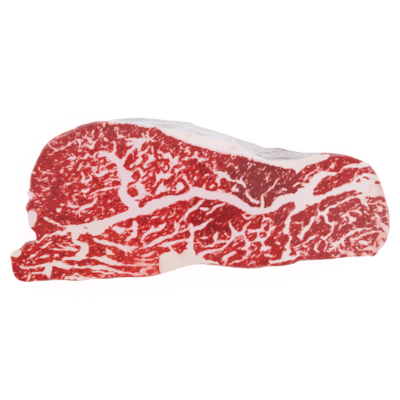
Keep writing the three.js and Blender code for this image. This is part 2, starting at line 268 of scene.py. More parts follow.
LEFT_LOBE_THREADS = [
    [(-74.5, 27, .5), (-72.5, 26, .8), (-71.4, 25.2, 1.5), (-70, 25.6, .8), (-68, 26, .9), (-66, 27.5, .8),
     (-64.5, 28.7, 1.3), (-63, 29, .8), (-61.5, 30, .7), (-60, 30.4, .9), (-58.5, 29.8, 1)],
    [(-71.5, 25, .8), (-73.5, 23.5, .6), (-75.5, 22.8, .4)],
    [(-60, 30, 1), (-59.5, 28, 1), (-60, 26.2, .8), (-61, 25.5, .5)],
    [(-59, 26.3, .6), (-57.2, 28.3, 1.1), (-55.5, 27.4, 1.5), (-54, 26.8, 2), (-53, 28.4, 1.5),
     (-51.5, 30, 1.1), (-50, 32, .8), (-49, 33.6, .9)],
    [(-66.5, 21, .6), (-64, 21.5, 1.8), (-62.5, 22, 1.5), (-64, 24, .6)],
    [(-60.5, 22.4, .8), (-58.5, 21.2, 1.2), (-57, 22, 1.8), (-56, 23.3, 1.2), (-55, 21.9, .8),
     (-53, 22.5, .9), (-51.5, 24, 1)],
    [(-60.2, 21, .6), (-62, 19, .8), (-64, 17.6, .7), (-66.3, 16.9, .5)],
    [(-61, 15.4, .8), (-59.6, 16.4, 1.5), (-59.2, 18.4, .6)],
    [(-58.5, 13.6, 1.4), (-57.9, 11.5, 1.2), (-58.5, 9.6, 1.8), (-56.5, 9.8, 1.5), (-54.4, 11.6, 1),
     (-56, 13.4, .8)],
    [(-54, 13.8, .9), (-52, 13.4, 1.6), (-49.5, 13.4, 2), (-48, 14.8, 1.5), (-46.3, 15.6, .9)],
    [(-50.4, 15, .9), (-50, 17, 1), (-48, 17.2, .6)],
    [(-69.5, 14.6, 1), (-67.8, 14.7, .7)],
    [(-80.2, 16.6, .5), (-79, 14.2, .7), (-77.5, 13.8, 1), (-76, 13.4, .4)],
    [(-80, 10.3, .5), (-78, 10.8, .7), (-76.5, 11.4, .7)],
    [(-79.5, 5.2, .4), (-77.5, 5.3, .7), (-75.8, 6, 1.3)],
    [(-66.4, 8.2, 1.4), (-64.5, 8.6, .9), (-62.5, 9.5, .7), (-60.4, 10.3, .6)],
    [(-59, 4.8, 1.2), (-57, 5, 1.9), (-55.6, 6, 1.1)],
    [(-58.5, 3.4, .6), (-57.4, 2.5, .8), (-55.5, 3, .7), (-52, 4.6, .8), (-50, 5.3, 1), (-48, 5.6, 1.8),
     (-45.5, 6, 1.3)],
    [(-63, 0, 1.3), (-62.5, 2.4, .9), (-61.4, 3.3, .5)],
    [(-63, -8.6, .5), (-60.5, -5.4, 1.2), (-59, -4, 1.8), (-56, -3, 1.8), (-53.6, -1.6, 1.4), (-52.6, 0, 1.3),
     (-52, 1.6, .7)],
    [(-66.4, 13, 1), (-66, 13.2, .8)],
    [(-40, 15.6, 1.4), (-42.4, 15.4, 1), (-45, 14.8, 1.1), (-47.4, 14.8, 1.6), (-50.4, 13.6, 1.4)],
    [(-39.6, 11.2, 1.2), (-42, 11.3, .9), (-46, 10.8, .9), (-49.6, 9.6, .6)],
    [(-39.8, 7.6, 1.6), (-42, 6.9, 1), (-44.4, 6.4, 1.2), (-47, 6.2, 1), (-50.4, 5.2, .6)],
    [(-41, 19.6, 1.6), (-43.6, 19.2, 1), (-46, 18.2, 1.1), (-48.2, 17.4, .8)],
    [(-44.4, 21.8, 2), (-47, 22.6, 1.6), (-49.4, 22.6, 1.8), (-50.6, 21.4, .8)],
    [(-58, 30.6, .4), (-56.4, 32.6, .7), (-55.4, 34.4, .4)],
    [(-55.4, 30.8, .4), (-53.8, 33, .7), (-52.6, 35, .4)],
    [(-49, 31, .5), (-47.6, 33, .6), (-46.8, 34.6, .4)],
    [(-62, 30.6, .4), (-60.6, 32.4, .6), (-59.6, 34, .4)],
    [(-70.6, -4.8, 1.8), (-70, -4.4, 1.5)],
]
TORN_FAT = [
    [(-83.6, -7, 4), (-83.4, -8.6, 4.8), (-83.8, -10.6, 4.4), (-84.6, -13, 2.6), (-84.6, -14.4, 1)],
    [(-86, 4.2, 2), (-85, 3.2, 4), (-84.6, 1.4, 1.8)],
    [(-94, -27.8, 3.4), (-92.4, -27.4, 4), (-91, -26.9, 3.6)],
]
FLAP_STREAKS = [
    [(-62, -16, 4.4), (-62.4, -18.5, 3.6), (-62, -20.6, 3), (-60, -22, 2), (-58, -22.8, 3.4),
     (-57.6, -24.4, 3.8), (-58.6, -26.4, 4.4), (-60, -28, 4.2), (-61.4, -28.9, 2.4), (-64, -28.9, 1.8),
     (-66.6, -29.1, 1.6), (-69.4, -30, .6)],
    [(-60, -28.8, 2.6), (-57, -28.9, 1), (-54, -28.6, 1), (-51.5, -28.7, 1.3), (-49.2, -29.5, 2.6),
     (-46.4, -30.2, 3.2), (-43.8, -31.3, 2.6), (-41.4, -32.1, 1.7), (-37, -32.4, 1.2), (-31, -32, 1.6),
     (-25.6, -32.3, 1.7), (-21, -32, 1)],
    [(-90.2, -33, .5), (-89, -33.8, 1), (-87, -34.3, .9), (-85, -34.1, 1.1), (-83, -33.6, 1),
     (-80.5, -33, 1.1), (-78, -32.7, 1.4), (-76, -32.6, 1.8), (-74, -32.3, 2.2), (-72, -32, 2.8),
     (-70, -32.4, 3), (-68, -33, 2.8), (-65, -33.7, 1.8), (-63, -33.3, 1.4), (-61.4, -32.9, 2.2),
     (-60, -33.2, 1.5), (-57, -33.5, 1.2), (-54, -33.7, 1.8), (-50.4, -33.4, 3), (-47.8, -33.7, 2.6),
     (-44.9, -34.4, 2), (-42, -35.1, 2), (-38.6, -35.8, 1.6), (-34.4, -36.3, 1.1), (-30, -37, 1)],
    [(-75.2, -31.4, .6), (-75.3, -30.4, .4)],
    [(-75.4, -33.6, 3.2), (-76, -35.4, 2.8), (-77.6, -36, 1.5), (-80, -36.2, 1.1), (-83, -36.8, 1),
     (-84.9, -37.5, 1.1), (-85.9, -39.4, 1)],
    [(-75.8, -35.6, 2.6), (-75.4, -37.4, 1.6), (-74.8, -38.8, .8)],
    [(-87.9, -38.6, .8), (-87.4, -38.2, .7)],
    [(-79.3, -24.5, .4), (-78, -23.6, 1.1), (-76, -22.6, 1.3), (-74.6, -21.6, .8), (-73.6, -20.9, .4)],
    [(-76.4, -20.8, .4), (-75.2, -20.2, .7), (-74.4, -19.2, .4)],
    [(-71.5, -22.5, .4), (-70.3, -23.5, .8), (-68, -23.9, 1), (-66, -23.9, 1.2), (-63.5, -24.6, .9),
     (-61.8, -25, .6)],
    [(-68, -21.2, .4), (-65.5, -21.6, .8), (-63.4, -22.4, 1), (-61, -22.3, 1.2)],
    [(-73.6, -24.3, .4), (-71, -25, .6), (-68, -25.2, .8), (-65, -25.3, .7), (-61.4, -25.6, .6)],
    [(-84.8, -29.4, .6), (-84.2, -28.3, 1.2), (-82.5, -27.4, 1.2), (-80.8, -26.3, .8), (-79.6, -25.5, .4)],
    [(-82.2, -29.9, .4), (-80, -29.1, .9), (-77.5, -28.5, 1.3), (-75.4, -28.1, .8)],
    [(-71.8, -27.8, 1), (-71.2, -27.7, .9)],
    [(-88.4, -30.6, .9), (-87.8, -30.4, .9)],
    [(-73, -30.2, .5), (-70.5, -30.8, 1), (-68.8, -31.2, .8)],
    [(-69.5, -38.9, .4), (-68, -37.6, .6), (-67, -36.4, .4)],
    [(-67.6, -39, .4), (-66.4, -37.8, .7), (-65.6, -36.6, .4)],
    [(-66, -38.8, .9), (-64, -37.9, .9), (-62.8, -36.9, .8), (-61.6, -36.7, .8), (-60.4, -37.4, .9),
     (-58.8, -38.2, 1.2)],
    [(-67, -39.4, 1), (-62, -38.9, 1.8), (-57, -38.8, 1.6), (-52, -38.8, .9)],
    [(-53.6, -35.6, .6), (-49.5, -35.9, .8), (-45.6, -36.4, .9), (-42, -36.8, .5)],
    [(-51.6, -37.2, .4), (-49, -37.6, .8), (-45, -38, .5)],
    [(-52.6, -19.5, 1.6), (-50.6, -20.2, 2.2), (-48.4, -20.9, 2.8), (-46.4, -21.4, 2.8), (-43.5, -22, 2.6),
     (-40.7, -22.8, 2.2), (-37.9, -23.6, 2.8), (-35.1, -24, 3), (-33.2, -23.6, 1.8), (-31.8, -23.2, .8)],
    [(-37.4, -24.6, 2), (-37, -26, 1.4), (-36.2, -27.6, .6)],
    [(-36, -24.8, 1.4), (-34.4, -26, .8), (-33, -26.4, .5)],
    [(-47.2, -17.7, 1.6), (-46.5, -17.4, 1.3)],
    [(-46.8, -24.6, .8), (-46.6, -26, 2.8), (-45, -26.6, 1.9), (-43.2, -26.8, .6)],
    [(-46.6, -22.4, .9), (-43.6, -22.9, .6)],
    [(-43.6, -14.4, 1.6), (-41.8, -14.2, 2.6), (-39.8, -14.7, 2.8), (-38, -14, 1.6)],
    [(-42.4, -17.4, .5), (-40, -16.9, .8), (-38, -16.4, .5)],
    [(-38.8, -16, .8), (-36.6, -15.9, .9), (-34.6, -16, 1.2)],
    [(-37, -14.2, .5), (-35.2, -14.3, .8), (-33.6, -14.2, 1.2)],
    [(-29.6, -27.4, .7), (-27.4, -27.7, 1.4), (-25.4, -27, 1.6), (-23.6, -26.2, 1.2), (-22.4, -25.4, .7)],
    [(-30, -36.4, .8), (-29, -35.6, 2.4), (-27.4, -36.2, 1.6), (-26.4, -37.2, .8)],
    [(-33, -29.2, .5), (-29.4, -29.4, .9), (-25, -29.6, .7), (-21.4, -29, .9)],
    [(-29, -33.9, .5), (-25.6, -34.1, .8), (-22, -33.8, .5)],
]
LOWER_MIDDLE_SEAMS = [
    [(-32.8, -10.4, 1.6), (-32.6, -12, 2.3), (-32.6, -13.6, 2.8), (-32.6, -15.4, 3.2), (-33.2, -17.2, 3.6),
     (-34.6, -18.8, 2.6), (-36.4, -20.3, 1)],
    [(-29, -19.4, 1), (-28.4, -17.6, 1.5), (-27, -16.4, 2), (-25.4, -15.6, 2.4), (-23.9, -14.8, 2.6),
     (-22, -14.7, 2), (-20.4, -14.3, 1.9), (-18.8, -13, 2), (-17.6, -11.6, 1.2)],
    [(-23.6, -14.4, 1.8), (-23.5, -12.4, .9)],
    [(-29.6, -20.4, .9), (-28.4, -21.6, 1.3), (-27.6, -22.8, 1.5), (-26.6, -24, .8)],
    [(-26.8, -22.6, 1.3), (-24.4, -21.8, 2.4), (-22.4, -20.9, 2.6), (-20.6, -19.8, 2.6), (-18, -18.8, 2),
     (-15.5, -17.6, 1.7), (-13, -16.4, 1.8), (-10, -15.3, 1.1), (-7, -14, 1.1), (-5, -12.8, 1.4)],
    [(-12.8, -16, 1.5), (-11.6, -13.5, 1.5), (-11, -11.5, 1.2)],
    [(-20.4, -22.6, .8), (-18.6, -22.4, 1.8), (-16.4, -22.2, 2.2), (-13.8, -20.9, 1.8), (-10, -19.7, 1.5),
     (-7, -19.4, 1.7), (-5, -19.4, 1.9)],
    [(-15.2, -22.4, 1.4), (-14.2, -24, 1.2), (-13.6, -26, 1.8)],
    [(1.5, 0.5, 1.4), (0, -1.3, 1.5), (-2.5, -3.3, 1.7), (-5, -5, 1.9), (-7, -7.5, 1.7), (-8, -9.5, 1.2),
     (-7.5, -10.6, .8)],
    [(0.5, -3.8, 1.4), (2.3, -4.6, 1.9), (3.8, -4.2, 1.2)],
    [(3.4, -7, .8), (5.4, -5.5, 1.4), (7, -3.7, 1.5), (8.5, -2.6, 1.5), (11, -1.8, 1.4), (12.6, -1, 1)],
    [(-3.5, -14, 1.3), (-0.5, -13.5, 1.9), (2, -11.8, 2), (4, -10.3, 1.4), (5.6, -9.2, .6)],
    [(-5.4, -12, 1.2), (-4.4, -13.4, 2.4), (-4.2, -16, 2), (-4.2, -19, 2.2), (-4.8, -22, 3.4),
     (-5, -25, 4.4)],
    [(-2.9, -20.9, .8), (-0.6, -20.8, .7), (0.8, -21.4, .5)],
    [(0.9, -18.9, .9), (2.6, -18.5, 1.4), (4.4, -18.6, .8)],
    [(8.6, -15.8, .7), (8, -17.8, 2.4), (8, -19.4, 1.4), (8.2, -20.8, 1.6), (6.4, -22.2, 1.3),
     (3.6, -22.7, 1), (1, -22.8, .7)],
    [(8.2, -20.6, 1.5), (11.3, -20.1, 1.3), (13.4, -20.6, 1.4)],
    [(-24.4, -9, .6), (-22.6, -8.2, 1.3), (-20.6, -8, 1)],
    [(-19, -9.9, .9), (-18, -8.6, 1.2), (-17.2, -7.4, .7)],
    [(-12.6, -13.6, 1.6), (-12.1, -11.8, 1.6), (-12.4, -10.4, .8)],
    [(-22, -6.4, .4), (-20.4, -5.4, .6)],
    [(-15.4, -8.6, .4), (-13.8, -7, .6), (-12.6, -5.6, .4)],
    [(-12.2, -8.8, .4), (-10.8, -7.2, .6)],
    [(-10.4, -10.6, .5), (-9.2, -9.2, .8), (-8.4, -7.8, .4)],
    [(14.9, -11, .8), (15.6, -12.8, 1.4), (16.5, -14.6, 2.2), (17.1, -16.7, 3), (16.2, -18.6, 2.5),
     (14.8, -20.4, 1.9), (13.4, -22.2, 1.5), (11, -24, 1.7), (8, -24.9, 1.5), (4, -25.4, 1.9),
     (1, -26.6, 2.6), (-1.2, -28, 3)],
    [(17, -17, 2.6), (19.2, -17, 2.3), (20.4, -16.2, 1.9), (21.5, -15, 1.4), (22.6, -13.6, 1.1),
     (24, -11.8, .9), (25.4, -10.4, .8), (27, -8.4, .8), (28, -6.6, 1)],
    [(19.4, -17.2, 1.4), (21.6, -16.8, 1.6), (22.3, -18.3, 1.1), (22.9, -19.8, 1.3), (24, -21, 2.6),
     (22.6, -23, 2), (21.2, -24, 1.2)],
    [(21.4, -7.3, .7), (22.4, -8, 1.2), (23.4, -8.6, 1.1), (25, -8.3, .8), (26.4, -7.8, .9)],
    [(22, -7, .6), (23.6, -6.4, .4)],
    [(17.6, -9.6, .4), (19.3, -8.3, .6)],
    [(17.9, -12.8, .5), (18.9, -14.2, .8)],
    [(12.6, -16.4, .5), (13.6, -17.6, .8), (14.4, -18.6, .5)],
    [(15.2, -23.7, .4), (17, -22.5, .8), (18.9, -21.2, .6)],
    [(17.8, -25.1, .4), (20, -23.6, .6)],
    [(11.8, -29.2, 2), (12.8, -27.9, 2.2), (15.2, -26.9, 1.8), (17.7, -26.1, 1.5)],
    [(12.8, -29, 1.6), (13, -31, .9), (12.6, -32.4, .8)],
    [(15, -32.1, .8), (17.7, -30.8, .9), (19.8, -30.2, 1), (22.2, -29.5, .9)],
    [(24, -32, .5), (25.8, -31.3, .8), (27.8, -30.4, .6)],
    [(21.4, -28.6, 1), (22.4, -28.2, 1.9), (23.6, -28.6, 1.2)],
    [(22.8, -27.8, .9), (23.8, -26.2, 1.6), (24.6, -25.3, 1.3)],
    [(24.2, -29, .4), (26, -28, .7), (28, -26.8, .5)],
    [(24, -20.9, 2), (26.4, -20.2, 1.2), (28.4, -19.6, 1.8), (30, -19.4, 2.4)],
    [(23.4, -23.6, 1), (24.2, -25.1, 1.2), (26.2, -25.2, .8), (27.6, -24.2, 1.1), (27.8, -22.8, .8),
     (26.4, -21.6, 1.2)],
]
CREAM_POCKETS = [
    [(-19, -32.4, 9), (-15.5, -31.2, 11), (-11, -29.6, 8.4), (-7, -29.4, 6.6), (-3, -29.6, 4.8),
     (1.4, -29.9, 3), (5, -30.6, 1.8), (9, -31.4, .9)],
    [(-10, -26.6, 1.2), (-8, -25.6, 2), (-5, -25.4, 2.6), (-2.6, -26.6, 1.8)],
    [(-4.2, -19, 1.4), (-4.4, -23, 2.6), (-5, -26.5, 4.4)],
]
RIGHT_MUSCLE_SEAMS = [
    [(50.5, -2.6, 4.8), (48.4, -4.6, 3.1), (46, -7.2, 2.9), (44.2, -10.4, 2.9), (43.3, -13.2, 3.2),
     (43, -15.6, 2.4), (42.6, -16.6, 1.1)],
    [(43.8, -14.6, 2.4), (44.2, -16.6, 1.3), (45.2, -18.4, 2.2), (45, -20.6, 1.4), (44.5, -22.4, 2.1),
     (43.8, -24.6, 3.1), (43.6, -26.8, 4.4), (42.4, -28.4, 3.5), (40.6, -29.2, 1.5)],
    [(43.6, -27, 3.1), (45, -28.4, 2.6), (47.4, -28.2, 1.9), (49.2, -27.4, 1.1)],
    [(47.6, -26, .75), (49, -26.2, 1.5), (49.4, -27.6, 1.1)],
    [(50.2, -25.2, .65), (51.6, -26, .95), (52.6, -27.2, .85), (53.4, -28.6, .65)],
    [(50.4, -27.2, .65), (51.6, -28, .85), (52.2, -29.2, .55)],
    [(52.2, -25.6, .55), (53.8, -26.8, .75), (54.6, -28.2, .55)],
    [(31.7, -7.6, .95), (32.4, -9, 1.8), (31.9, -11, 1.1), (31.6, -13, 1.2), (31.2, -14.6, 1.8)],
    [(32.2, -9.4, 1.5), (33.8, -9.2, 1.3), (34.4, -8.4, .95)],
    [(24.2, -14.6, 1.1), (26.4, -14.8, 1.6), (28.4, -14.7, 1.9), (30.6, -14.8, 1.8), (32.2, -15.6, 1.4),
     (33.8, -16, 1.8), (35, -14.8, 1.9), (35.9, -13.6, 2), (37.4, -12.6, 1.2), (39.1, -11.8, 1.1),
     (40.9, -10.9, .85), (42.2, -9.8, .75)],
    [(35.3, -9, .65), (35.3, -11, .85), (35.4, -13, 1.3)],
    [(29.4, -15.2, 1.3), (29.2, -17.2, 1.1), (29.4, -19.2, 1.9), (31, -20, 2.8), (32.4, -19.2, 1.8),
     (33.4, -17.6, 1.4), (34.2, -16.2, 1.6)],
    [(31, -20.6, 2.9), (31, -22.2, 3.1), (32, -23.6, 2.9), (33.6, -23.7, 2.4), (35.4, -23.2, 1.1)],
    [(30.8, -24, 1.8), (30.6, -25.4, .95)],
    [(35.9, -19, .95), (37, -18.5, 1.6), (38, -18.2, 1.1), (39.8, -17, .95), (42, -14.8, .85)],
    [(37.8, -20.9, 1.1), (39, -21.3, 1.2), (39.9, -21.8, .65)],
    [(38.2, -23.7, .85), (38.5, -23.8, .75)],
    [(32.8, -27, 1.1), (34.4, -27.5, 1.8), (36, -28, 1.4), (36.8, -28.4, .65)],
    [(35, -31, 1.1), (38, -30.7, 1.8), (41, -30, 1.8)],
    [(47.2, -10.9, 1.1), (48.2, -10.7, 1.1), (49.4, -10.9, .95), (50.8, -10.3, 1.3)],
    [(50.9, -10.8, .95), (51, -12, .85), (50.9, -13.4, 1.3)],
    [(59.5, -6.4, 2.1), (57.4, -8.2, 1.5), (56, -10.2, 2.5), (54.8, -12.2, 2.1), (53.2, -13.6, 2.1),
     (51.9, -15, 2.5), (51.2, -16.8, 2.1), (50.4, -18.4, 1.9), (49.4, -17.7, 1.8)],
    [(50.2, -18.4, 1.5), (50.4, -19.6, .85)],
    [(59.4, -5.4, 1.3), (60.6, -6.2, 2.2), (62.4, -6, 2.9), (63, -8, 2), (63.2, -10, 1.6), (64.4, -11.4, 1.5),
     (66.2, -11.7, 1.8), (68, -11.2, 1.1)],
    [(62.8, -5.4, 2.5), (65.2, -3.6, 2.1), (66.6, -2.6, 1.9), (68.8, -1.4, 1.6), (70.8, -0.4, 1.5),
     (73.6, .7, 1.6), (76.2, 1.9, 1.6), (80, 2.4, 2.5), (82, 2.5, 3.5)],
    [(66.6, -11.9, 1.3), (66.4, -13.8, 1.1), (66, -15.6, 1.3), (64.6, -17.4, 1.2), (63, -18.6, 1.6),
     (61.8, -19, 2), (60.6, -18.2, .95)],
    [(58.3, -3, .75), (59.2, -4.6, 1.1)],
    [(47.2, -23.8, .65), (49.4, -22.8, .95), (51.4, -21.8, .85), (54, -20.2, .95), (55.4, -18.8, 1.3),
     (57, -17.8, 1.3), (58.6, -17.4, .85), (59.2, -16.4, .95)],
    [(55.2, -18.4, 1.6), (56, -18.2, 1.4)],
    [(51.4, -22.6, .65), (52.6, -22.8, 1.1), (54, -23.8, .55)],
    [(59.9, -20, .95), (58.4, -21.6, 1.3), (57.6, -23.4, 1.2), (58.4, -24.8, 1.4), (59.6, -25.2, .85)],
    [(62.3, -19.6, 1.1), (63.2, -21.4, 1.1), (62.8, -23.4, 1.1), (62.3, -25, 1.1)],
    [(62.4, -25.4, .95), (64.4, -25.2, 1.1), (66.2, -24.2, 1.1)],
    [(66.2, -26.8, .75), (67, -27.6, 1.1), (68.4, -28, .65)],
    [(70.2, -7.9, .55), (71.6, -7.3, 1.1), (73.6, -6.3, 1.4), (74.6, -5.2, .85)],
    [(73.8, -6.6, 1.1), (74.4, -7.8, 1.3), (75.4, -9.2, 2.4), (76.8, -9.4, 1.8), (77.8, -9, .95)],
    [(75.2, -10, 1.6), (74.4, -11.2, 1.1)],
    [(72.4, -8.8, 1.1), (72.9, -9.2, 1.1)],
    [(75.7, -4.5, 1.1), (77.4, -5, 1.6), (79.4, -5.6, 1.4), (80.4, -6.6, .65)],
    [(77.6, -4.4, 1.1), (78, -2.8, 1.1), (78.2, -1.6, 1.1)],
    [(82.2, -5.2, .65), (83.6, -6.4, .65)],
    [(82, 1.6, 4.2), (82, -0.6, 3.4), (83.4, -2.6, 1.9), (84.2, -4.4, .75)],
    [(84.6, -1.6, 1.1), (87, -1.6, 1.1), (88.6, -1.2, .95), (90.6, -1.6, .75)],
    [(88.6, -2.4, 1.1), (90.4, -3.8, 2.4), (89.8, -5.2, 1.1), (88.4, -5.4, .75)],
    [(86.9, -6, .95), (88, -7, 1.8), (89, -8.6, 1.9), (89.8, -10, 1.1), (91.6, -10, .65)],
    [(86.2, -8.8, 1.1), (86.8, -9.2, .95)],
    [(89.6, -11, 1.1), (91.4, -12.4, 2.5), (93.2, -14, 2.9), (94.2, -16.4, 2.1), (94, -18, 1.1)],
    [(71.2, -19.4, 1.9), (72.4, -18, 1.5), (73.8, -17, 1.6), (75.6, -15.9, 2), (78, -14.9, 1.6),
     (81.4, -14.2, 1.1), (83.9, -13.7, 1.1), (86, -13.6, .75)],
    [(71, -20, 2.4), (71.6, -21.4, 1.9), (72.4, -22.8, 1.1)],
    [(75.6, -18.9, .95), (77.4, -18.9, 1.5), (79.4, -18.4, 1.5), (81, -17.5, 1.2), (82.7, -16.8, 1.1),
     (85.1, -16, 1.3), (87.6, -15.6, 1.5), (90, -15.5, 1.2), (92, -16.2, .85)],
    [(73.6, -11.1, .65), (75.4, -11.2, .85), (77.2, -12.6, .95), (78.2, -14, .95)],
    [(69.2, -14.2, .55), (70.4, -12.9, .85), (72.8, -11.2, .95)],
    [(80, -20.4, 1.1), (82, -20.8, 1.8), (84.2, -21.4, 1.1)],
    [(82.4, -24.2, 1.4), (84.4, -23.6, 1.9), (86.4, -23.4, 1.8), (87.6, -22.4, 1.3), (87.8, -21.2, 1.1)],
    [(73.6, -22.2, .65), (74.4, -23.6, .95), (74.2, -25, 1.1), (75.4, -26, .75)],
    [(77.6, -20.2, .95), (76.4, -21.4, .75), (76.8, -22.4, .85)],
    [(78.4, -23.2, .65), (79.6, -24.4, .85), (81.4, -24.6, .65)],
    [(69.4, -23.6, .65), (70.4, -25, .95), (71.6, -26.2, .65)],
    [(67.4, -21.6, .65), (67.8, -22.6, .85)],
    [(81.8, -26, 1.1), (81.4, -27.4, .65)],
    [(92, -18.4, .85), (92.4, -19, .75)],
]

# The large pocket ends straight, at this x, where a membrane crosses it.
POCKET_CUT = -20.2
POCKET_RAGGED = 0.3

